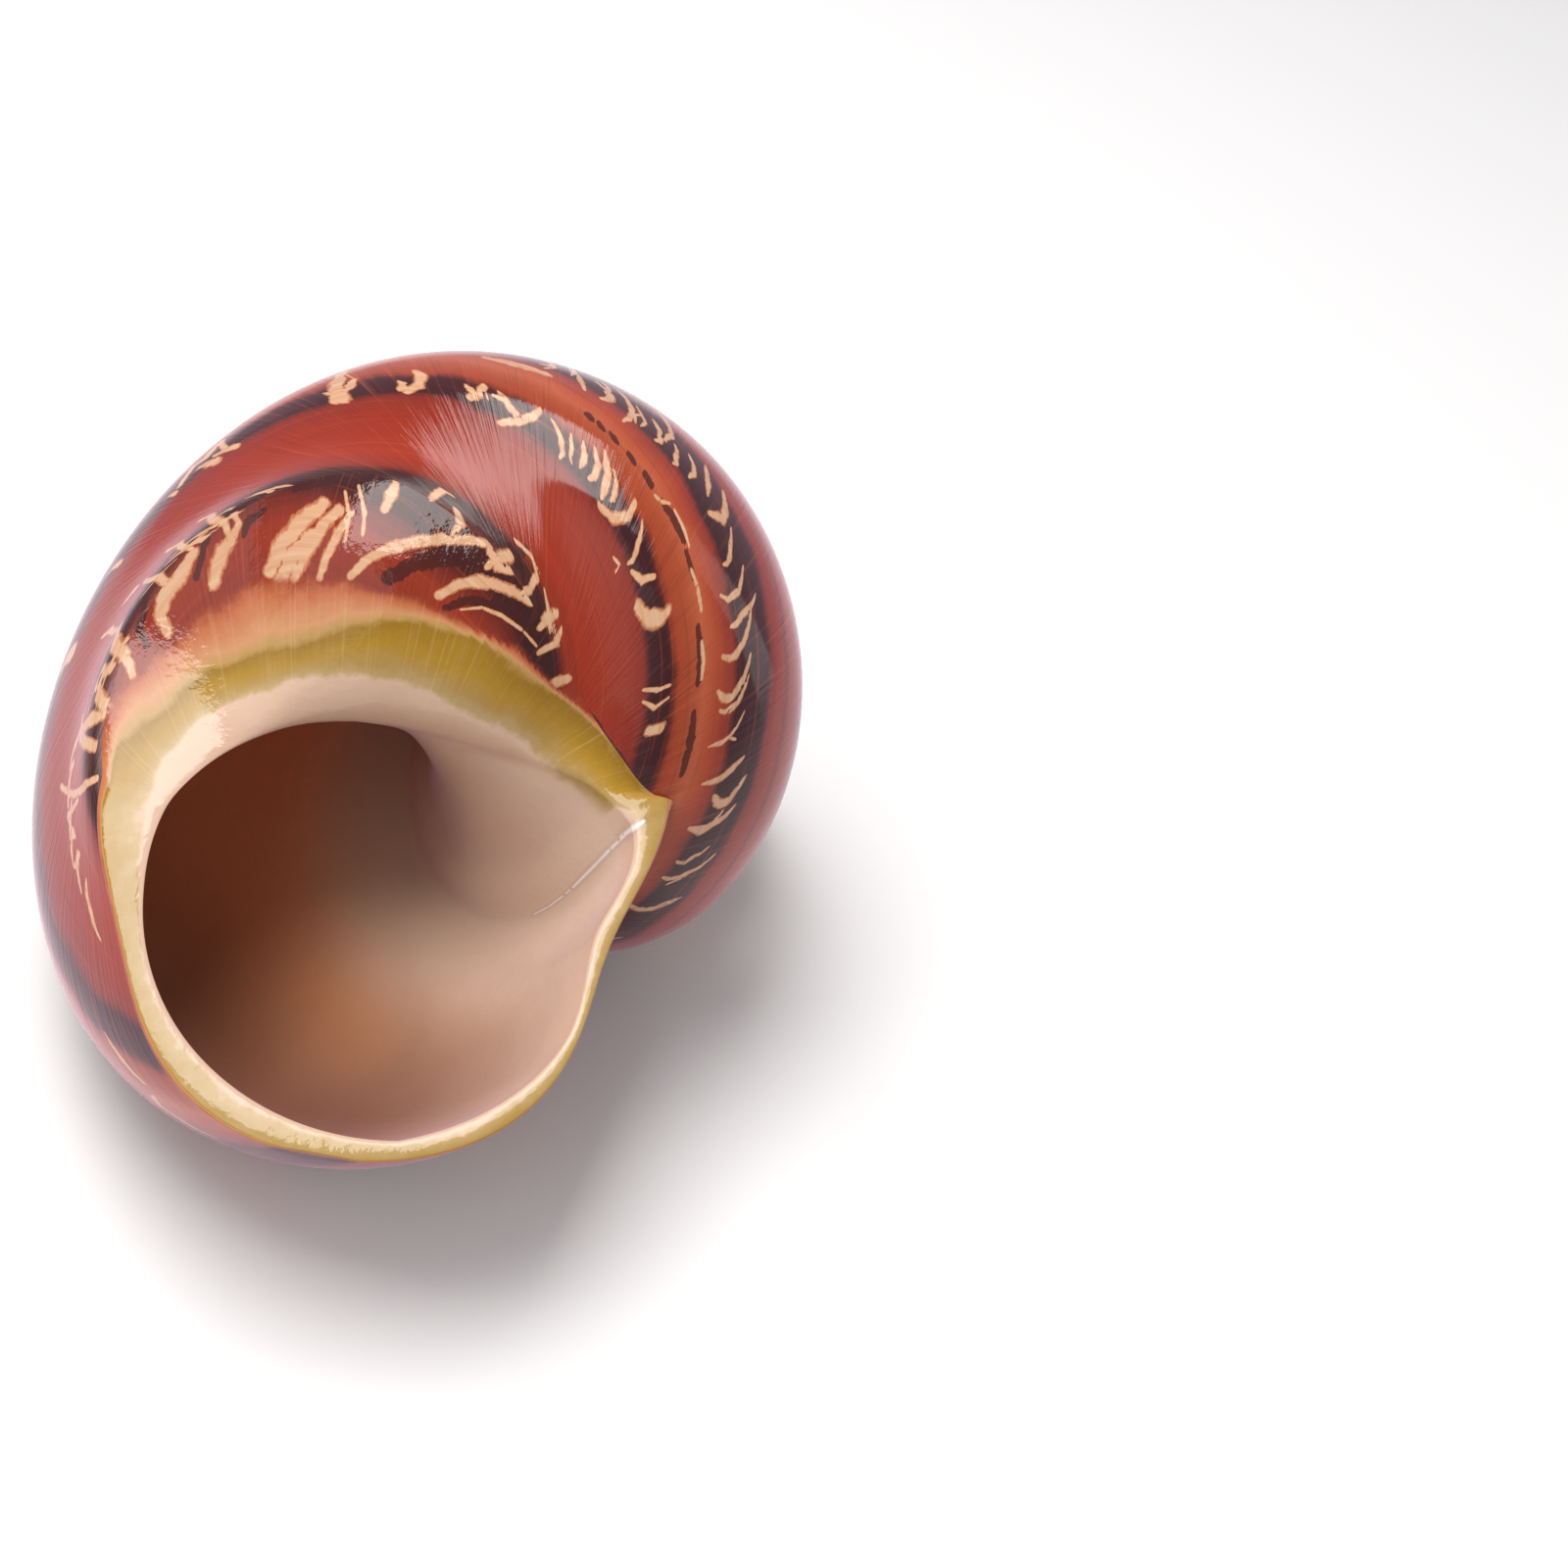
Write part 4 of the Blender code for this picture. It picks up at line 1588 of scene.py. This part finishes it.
@dataclass(frozen=True)
class WhorlPaint:
    """The polished whorl's colours: spiral bands by the section's angle, fine streaks, and the marks.

    Args:
        bands: degrees round the section, and the colour there.
        cream: the cream marks.
        cream_shade: their darker streaks.
        cream_edge: their edges.
        dark: the dark marks.
        light_line: the lighter lines that run with the bands.
        dark_line: the darker lines that do.
        light_streak: the lighter growth lines across them.
        dark_streak: the darker growth lines.
    """

    bands: tuple[tuple[float, str], ...] = (
        (-180, "#8c3c22"), (-136, "#842a14"), (-126, "#8c2c14"), (-119, "#601c10"), (-116, "#34100c"),
        (-106, "#34100c"), (-102, "#862810"), (-92, "#982c10"), (-70, "#90280f"), (-62, "#7e2210"),
        (-59, "#361012"), (-51, "#361012"), (-48, "#963a1c"), (-42, "#a04626"), (-38, "#b05534"),
        (-33, "#a84422"), (-27, "#8a2c18"), (-24, "#300e0c"), (-9, "#300e0c"), (-6, "#8a2a12"),
        (1, "#963012"), (3, "#701e0e"), (5, "#963012"), (18, "#9a3214"), (23, "#42140e"),
        (39, "#3a120e"), (43, "#883418"), (58, "#a04a26"), (74, "#a44824"), (80, "#34100a"),
        (90, "#2e0e0a"), (100, "#561e10"),
    )
    cream: str = "#d2aa88"
    cream_shade: str = "#c4906a"
    cream_edge: str = "#c47e50"
    dark: str = "#3c120c"
    light_line: str = "#c8552a"
    dark_line: str = "#3c1410"
    light_streak: str = "#cf6a3a"
    dark_streak: str = "#431710"

    def group(self) -> Tree:
        """Makes the node group.

        Returns:
            The group: it puts out the colour and the height of the fine growth lines.
        """
        effect = EffectGroup(
            "whorl_paint",
            (("Growth", VECTOR), ("Place", VECTOR), ("Cream", VECTOR), ("Dark", VECTOR)),
            (("Color", COLOUR), ("Height", FLOAT)),
        )
        graph = effect.graph
        growth, place = effect.inputs["Growth"], effect.inputs["Place"]
        angle = graph.parts(growth)[1]
        slow = graph.noise(place, 260.0, 3.0)
        quick = graph.noise(place, 1500.0, 2.0)
        spiral_lines = graph.noise(graph.scaled(growth, (6.0, 170.0, 1.0)), 1.0, 3.0, 0.6)
        striae = graph.noise(graph.scaled(growth, (260.0, 5.0, 1.0)), 1.0, 3.0, 0.65)
        fine = graph.noise(graph.scaled(growth, (900.0, 12.0, 1.0)), 1.0, 2.0)
        wobble = graph.math("MULTIPLY_ADD", slow, 0.006, graph.math("MULTIPLY", striae, 0.0035))
        shifted = graph.math("ADD", graph.math("ADD", angle, 0.5), wobble)
        colour = graph.ramp(shifted, [((degrees + 180) / 360, code) for degrees, code in self.bands])
        colour = graph.tint(colour, graph.mask(spiral_lines, 0.1, 0.9), 0.34, self.light_line)
        colour = graph.tint(colour, graph.mask(spiral_lines, -0.1, -0.9), 0.45, self.dark_line)
        colour = graph.tint(colour, graph.mask(striae, 0.10, 0.9), 0.34, self.light_streak)
        colour = graph.tint(colour, graph.mask(fine, -0.1, -0.8), 0.42, self.dark_streak)
        ragged = graph.math("ADD", graph.math("MULTIPLY", quick, 0.42), graph.math("MULTIPLY", striae, 0.30))
        dark = self.within(graph, effect.inputs["Dark"], ragged, 1.0, 0.8)
        colour = graph.tint(colour, dark, 0.85, self.dark)
        edge = self.within(graph, effect.inputs["Cream"], ragged, 1.35, 1.0)
        core = self.within(graph, effect.inputs["Cream"], ragged, 1.0, 0.7)
        colour = graph.tint(colour, edge, 0.7, self.cream_edge)
        cream = graph.mix(graph.mask(spiral_lines, -0.6, 0.6), self.cream_shade, self.cream)
        colour = graph.mix(core, colour, cream)
        effect.put("Color", colour)
        height = graph.math("MULTIPLY_ADD", striae, 0.000015, graph.math("MULTIPLY", fine, 0.000003))
        effect.put("Height", height)
        return effect.tree

    @staticmethod
    def within(graph: Graph, coordinates: Socket, ragged: Value, outer: float, inner: float) -> Socket:
        """A stroke's mask.

        Args:
            graph: the graph to add it to.
            coordinates: distances across the stroke and past its end, in half widths.
            ragged: what is added to the distance, for a ragged edge.
            outer: the distance where the mask is 0.
            inner: the distance where it is 1.

        Returns:
            The mask.
        """
        across, past, _ = graph.parts(coordinates)
        across = graph.math("POWER", graph.math("ABSOLUTE", across), 2.0)
        past = graph.math("POWER", graph.math("ABSOLUTE", past), 2.0)
        far = graph.math("POWER", graph.math("ADD", across, past), 0.5)
        return graph.mask(graph.math("ADD", far, ragged), outer, inner)


@dataclass(frozen=True)
class MouthPaint:
    """The callus and the lining: tan glaze, yellow-green, cream nacre, and red-brown further in, with painted
    light that lightens the lining deeper in and painted shade on its outer wall and beside the crease.

    Args:
        zones: a place in the zones, as a share of all four, and the colour there.
        depths_with_painted_light: a place in the lining, and the colour there: the lining's own colours,
            lightened deeper in as painted light.
        ray: the lighter lines that run into the mouth.
        parietal: the lining on the older whorl.
        painted_wall_shade: painted shade on the lining's outer wall, a little way into the mouth.
        crease: the crease in the mouth's corner.
        painted_crease_shade: painted shade along its sides.
    """

    zones: tuple[tuple[float, str], ...] = (
        (0.25, "#983e1e"), (0.31, "#b5653c"), (0.42, "#c48a5c"), (0.48, "#b08a4a"), (0.52, "#946c12"),
        (0.62, "#a88022"), (0.69, "#ac8a4a"), (0.735, "#b89a66"), (0.765, "#d6b49a"), (1.0, "#d0ac94"),
    )
    # Partly the lining's own colours, partly painted light: past 0.22 they get lighter deeper in, standing in
    # for light reaching the deep lining.
    depths_with_painted_light: tuple[tuple[float, str], ...] = (
        (0.0, "#cbaa94"), (0.10, "#b8937a"), (0.22, "#a67a5e"), (0.38, "#c4865f"), (0.58, "#e8986a"),
        (1.0, "#f6a070"),
    )
    ray: str = "#e0c690"
    parietal: str = "#e6cbb4"
    # painted shade for the lining's outer wall
    painted_wall_shade: str = "#6c4230"
    crease: str = "#f2e8e2"
    # painted shade beside the crease
    painted_crease_shade: str = "#94786a"

    def group(self) -> Tree:
        """Makes the node group.

        Returns:
            The group: it takes the whorl's colour, and puts out the colour and a fine height.
        """
        effect = EffectGroup(
            "mouth_paint",
            (("Whorl", COLOUR), ("Zone", FLOAT), ("Depth", FLOAT), ("Place", VECTOR), ("Growth", VECTOR),
             ("Crease", VECTOR)),
            (("Color", COLOUR), ("Height", FLOAT)),
        )
        graph = effect.graph
        place = effect.inputs["Place"]
        slow = graph.noise(place, 240.0, 4.0, 0.6)
        quick = graph.noise(place, 900.0, 3.0, 0.6)
        radial = graph.noise(graph.scaled(effect.inputs["Growth"], (300.0, 6.0, 1.0)), 1.0, 2.0)
        zone = graph.math("ADD", effect.inputs["Zone"], graph.math("MULTIPLY", slow, 0.20))
        zone = graph.math("ADD", zone, graph.math("MULTIPLY", quick, 0.11))
        paint = graph.ramp(graph.math("DIVIDE", zone, 4.0), self.zones)
        paint = graph.tint(paint, graph.mask(radial, 0.0, 1.0), 0.25, self.ray)
        glazed = graph.mask(zone, 0.86, 1.10)
        colour = graph.mix(glazed, effect.inputs["Whorl"], paint)
        angle = graph.parts(effect.inputs["Growth"])[1]
        shallow = graph.math("MULTIPLY", graph.mask(angle, -0.88, -0.74), graph.mask(angle, -0.42, -0.72))
        # Painted light: the base side runs through the depth colours faster, so it lightens sooner; the
        # parietal side runs slower.
        base = graph.math("MULTIPLY", graph.mask(angle, -0.08, -0.18), graph.mask(angle, -0.56, -0.46))
        rate = graph.math("MULTIPLY_ADD", base, 2.5, graph.math("MULTIPLY_ADD", shallow, -1.5, 2.5))
        depth = graph.math("MULTIPLY", effect.inputs["Depth"], rate)
        inside = graph.ramp(graph.math("MULTIPLY_ADD", slow, 0.03, depth), self.depths_with_painted_light)
        inside = graph.tint(inside, shallow, 0.5, self.parietal)
        # Painted shade: the lining's outer wall is darkened a little way into the mouth, where shade falls.
        turned = graph.math("ABSOLUTE", graph.math("ADD", angle, 0.5))
        turned = graph.math("ABSOLUTE", graph.math("ADD", turned, -0.5))
        starts = graph.mask(effect.inputs["Depth"], 0.0, 0.07)
        ends = graph.mask(effect.inputs["Depth"], 0.36, 0.12)
        band = graph.math("MULTIPLY", starts, ends)
        shade = graph.math("MULTIPLY", graph.mask(turned, 0.20, 0.04), band)
        inside = graph.tint(inside, shade, 0.8, self.painted_wall_shade)
        deep = graph.mask(effect.inputs["Depth"], 0.0, 0.02)
        colour = graph.mix(deep, colour, inside)
        ragged = graph.math("MULTIPLY", quick, 0.4)
        crease = WhorlPaint.within(graph, effect.inputs["Crease"], ragged, 1.5, 0.2)
        # Painted shade along both sides of the crease.
        shade = WhorlPaint.within(graph, effect.inputs["Crease"], 0.0, 4.5, 1.0)
        colour = graph.tint(colour, shade, 0.25, self.painted_crease_shade)
        colour = graph.tint(colour, crease, 0.75, self.crease)
        effect.put("Color", colour)
        effect.put("Height", graph.math("MULTIPLY", quick, 0.00002))
        return effect.tree


@dataclass(frozen=True)
class ShellFinish:
    """The polished shell's surface.

    Args:
        name: the material's name.
        roughness: how matt it is.
        specular: how strongly it mirrors.
        sheen: the soft light at grazing angles.
        sheen_roughness: how broad that is.
        sheen_tint: its colour.
    """

    name: str
    roughness: float = 0.07
    specular: float = 0.36
    sheen: float = 0.62
    sheen_roughness: float = 0.46
    sheen_tint: str = "#c8a0b8"

    def material(self, whorl: Tree, mouth: Tree | None = None) -> bpy.types.Material:
        """The polished shell's material.

        Args:
            whorl: the whorl's paint.
            mouth: the mouth's paint, for the lip and the lining.

        Returns:
            The material.
        """
        material = bpy.data.materials.new(self.name)
        material.use_nodes = True
        tree = material.node_tree
        tree.nodes.clear()
        graph = Graph(tree)
        growth = graph.node("ShaderNodeUVMap", uv_map="growth").outputs[0]
        place = graph.node("ShaderNodeTexCoord").outputs["Object"]
        paint = graph.node("ShaderNodeGroup", node_tree=whorl)
        graph.set(paint.inputs["Growth"], growth)
        graph.set(paint.inputs["Place"], place)
        for label, kind in (("Cream", StrokeKind.CREAM), ("Dark", StrokeKind.DARK)):
            graph.set(paint.inputs[label], graph.node("ShaderNodeUVMap", uv_map=kind.value).outputs[0])
        colour, height = paint.outputs["Color"], paint.outputs["Height"]
        if mouth:
            inner = graph.node("ShaderNodeGroup", node_tree=mouth)
            graph.set(inner.inputs["Whorl"], colour)
            for label, name in (("Zone", "zone"), ("Depth", "depth")):
                attribute = graph.node("ShaderNodeAttribute", attribute_name=name)
                graph.set(inner.inputs[label], attribute.outputs["Fac"])
            graph.set(inner.inputs["Place"], place)
            graph.set(inner.inputs["Growth"], growth)
            crease = graph.node("ShaderNodeUVMap", uv_map=StrokeKind.CREASE.value)
            graph.set(inner.inputs["Crease"], crease.outputs[0])
            colour, height = inner.outputs["Color"], inner.outputs["Height"]
        bump = graph.node("ShaderNodeBump", {"Height": height, "Strength": 1.0, "Distance": 1.0})
        shader = graph.node("ShaderNodeBsdfPrincipled", {"Base Color": colour, "Normal": bump.outputs[0]})
        shader.inputs["Roughness"].default_value = self.roughness
        shader.inputs["Specular IOR Level"].default_value = self.specular
        shader.inputs["Sheen Weight"].default_value = self.sheen
        shader.inputs["Sheen Roughness"].default_value = self.sheen_roughness
        shader.inputs["Sheen Tint"].default_value = linear(self.sheen_tint)
        output = graph.node("ShaderNodeOutputMaterial")
        tree.links.new(shader.outputs[0], output.inputs[0])
        return material


@dataclass(frozen=True)
class Softbox:
    """A large soft lamp, put where the polished skin at a pixel of the photograph mirrors it to the camera.

    Args:
        name: its name.
        pixel: that pixel, in the mouth view.
        width: its width, in metres.
        height: its height, in metres.
        distance: how far it is from the skin, in metres.
        power: in watts.
        colour: its light's colour.
    """

    name: str
    pixel: tuple[int, int]
    width: float
    height: float
    distance: float
    power: float
    colour: tuple[float, float, float] = (1.0, 0.99, 0.98)

    def build(self, skin: Skin, lying: Lying) -> bpy.types.Object:
        """Adds the lamp.

        Args:
            skin: the shell's surfaces.
            lying: how the shell lies.

        Returns:
            The lamp.
        """
        place, normal = skin.normal(MOUTH_VIEW, self.pixel)
        ray = MOUTH_VIEW.rays(self.pixel)
        mirrored = ray - 2 * np.dot(ray, normal) * normal
        way = Vector(lying.point(mirrored))
        data = bpy.data.lights.new(self.name, "AREA")
        data.shape = "RECTANGLE"
        data.size, data.size_y = self.width, self.height
        data.energy = self.power
        data.color = self.colour
        lamp = bpy.data.objects.new(self.name, data)
        spot = Vector(lying.place(place))
        lamp.location = spot + way * self.distance
        lamp.rotation_euler = way.to_track_quat("Z", "Y").to_euler()
        bpy.context.scene.collection.objects.link(lamp)
        LOG.info("%s at %s", self.name, [round(value, 3) for value in lamp.location])
        return lamp


@dataclass(frozen=True)
class Studio:
    """The pale floor, the soft lamps and the even light all round.

    Args:
        floor_size: the floor's width, in metres.
        floor_colour: its colour.
        floor_roughness: how matt it is.
        world_colour: the even light's colour.
        world_strength: the even light's strength.
        lamps: the soft lamps.
    """

    floor_size: float = 6.0
    floor_colour: str = "#f3f2f1"
    floor_roughness: float = 0.6
    world_colour: str = "#f4f4f8"
    world_strength: float = 0.44
    lamps: tuple[Softbox, ...] = (
        Softbox("key_softbox", (495, 485), 0.36, 0.24, 0.42, 2.0),
        Softbox("side_softbox", (750, 620), 0.16, 0.50, 0.50, 0.3),
        Softbox("front_softbox", (330, 620), 0.55, 0.55, 0.60, 0.9),
    )

    def build(self, skin: Skin, lying: Lying) -> None:
        """Adds all of it to the scene.

        Args:
            skin: the shell's surfaces.
            lying: how the shell lies.
        """
        half = self.floor_size / 2
        mesh = bpy.data.meshes.new("floor")
        places = [(-half, -half, 0), (half, -half, 0), (half, half, 0), (-half, half, 0)]
        mesh.from_pydata(places, [], [(0, 1, 2, 3)])
        material = bpy.data.materials.new("floor")
        material.use_nodes = True
        shader = material.node_tree.nodes["Principled BSDF"]
        shader.inputs["Base Color"].default_value = linear(self.floor_colour)
        shader.inputs["Roughness"].default_value = self.floor_roughness
        mesh.materials.append(material)
        floor = bpy.data.objects.new("floor", mesh)
        bpy.context.scene.collection.objects.link(floor)
        world = bpy.data.worlds.new("studio")
        world.use_nodes = True
        background = world.node_tree.nodes["Background"]
        background.inputs["Color"].default_value = linear(self.world_colour)
        background.inputs["Strength"].default_value = self.world_strength
        bpy.context.scene.world = world
        bpy.context.scene.view_settings.view_transform = "Standard"
        for lamp in self.lamps:
            lamp.build(skin, lying)


def corners(bounds: tuple) -> list[list[float]]:
    """Bounds as plain lists."""
    return [[float(value) for value in corner] for corner in bounds]


def main() -> None:
    """Builds the shell, its markings and its surroundings."""
    logging.basicConfig(level=logging.INFO, format="%(relativeCreated)d ms: %(message)s")
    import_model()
    form = ShellForm()
    body = form.skin("body_whorl", form.body_first, 0.0, form.body_columns)
    spire = form.skin("spire", FIRST_TURN, form.body_first + form.overlap, form.spire_columns)
    lining, rim = form.lining(), form.rim()
    skin = Skin([body, spire, rim], form.spiral)
    strokes = Markings(Skin([body, spire], form.spiral)).build()
    whorl = WhorlPaint().group()
    mouth = MouthPaint().group()
    outside = ShellFinish("polished_whorl").material(whorl)
    inside = ShellFinish("lip_and_lining").material(whorl, mouth)
    for sheet, material in ((body, outside), (spire, outside), (lining, inside), (rim, inside)):
        piece = sheet.build(form.lying, material, strokes)
        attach(piece, "root")
        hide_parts(NODE)
    Studio().build(skin, form.lying)
    bpy.context.scene.camera = MOUTH_VIEW.camera(form.lying)


if __name__ == "__main__":
    main()
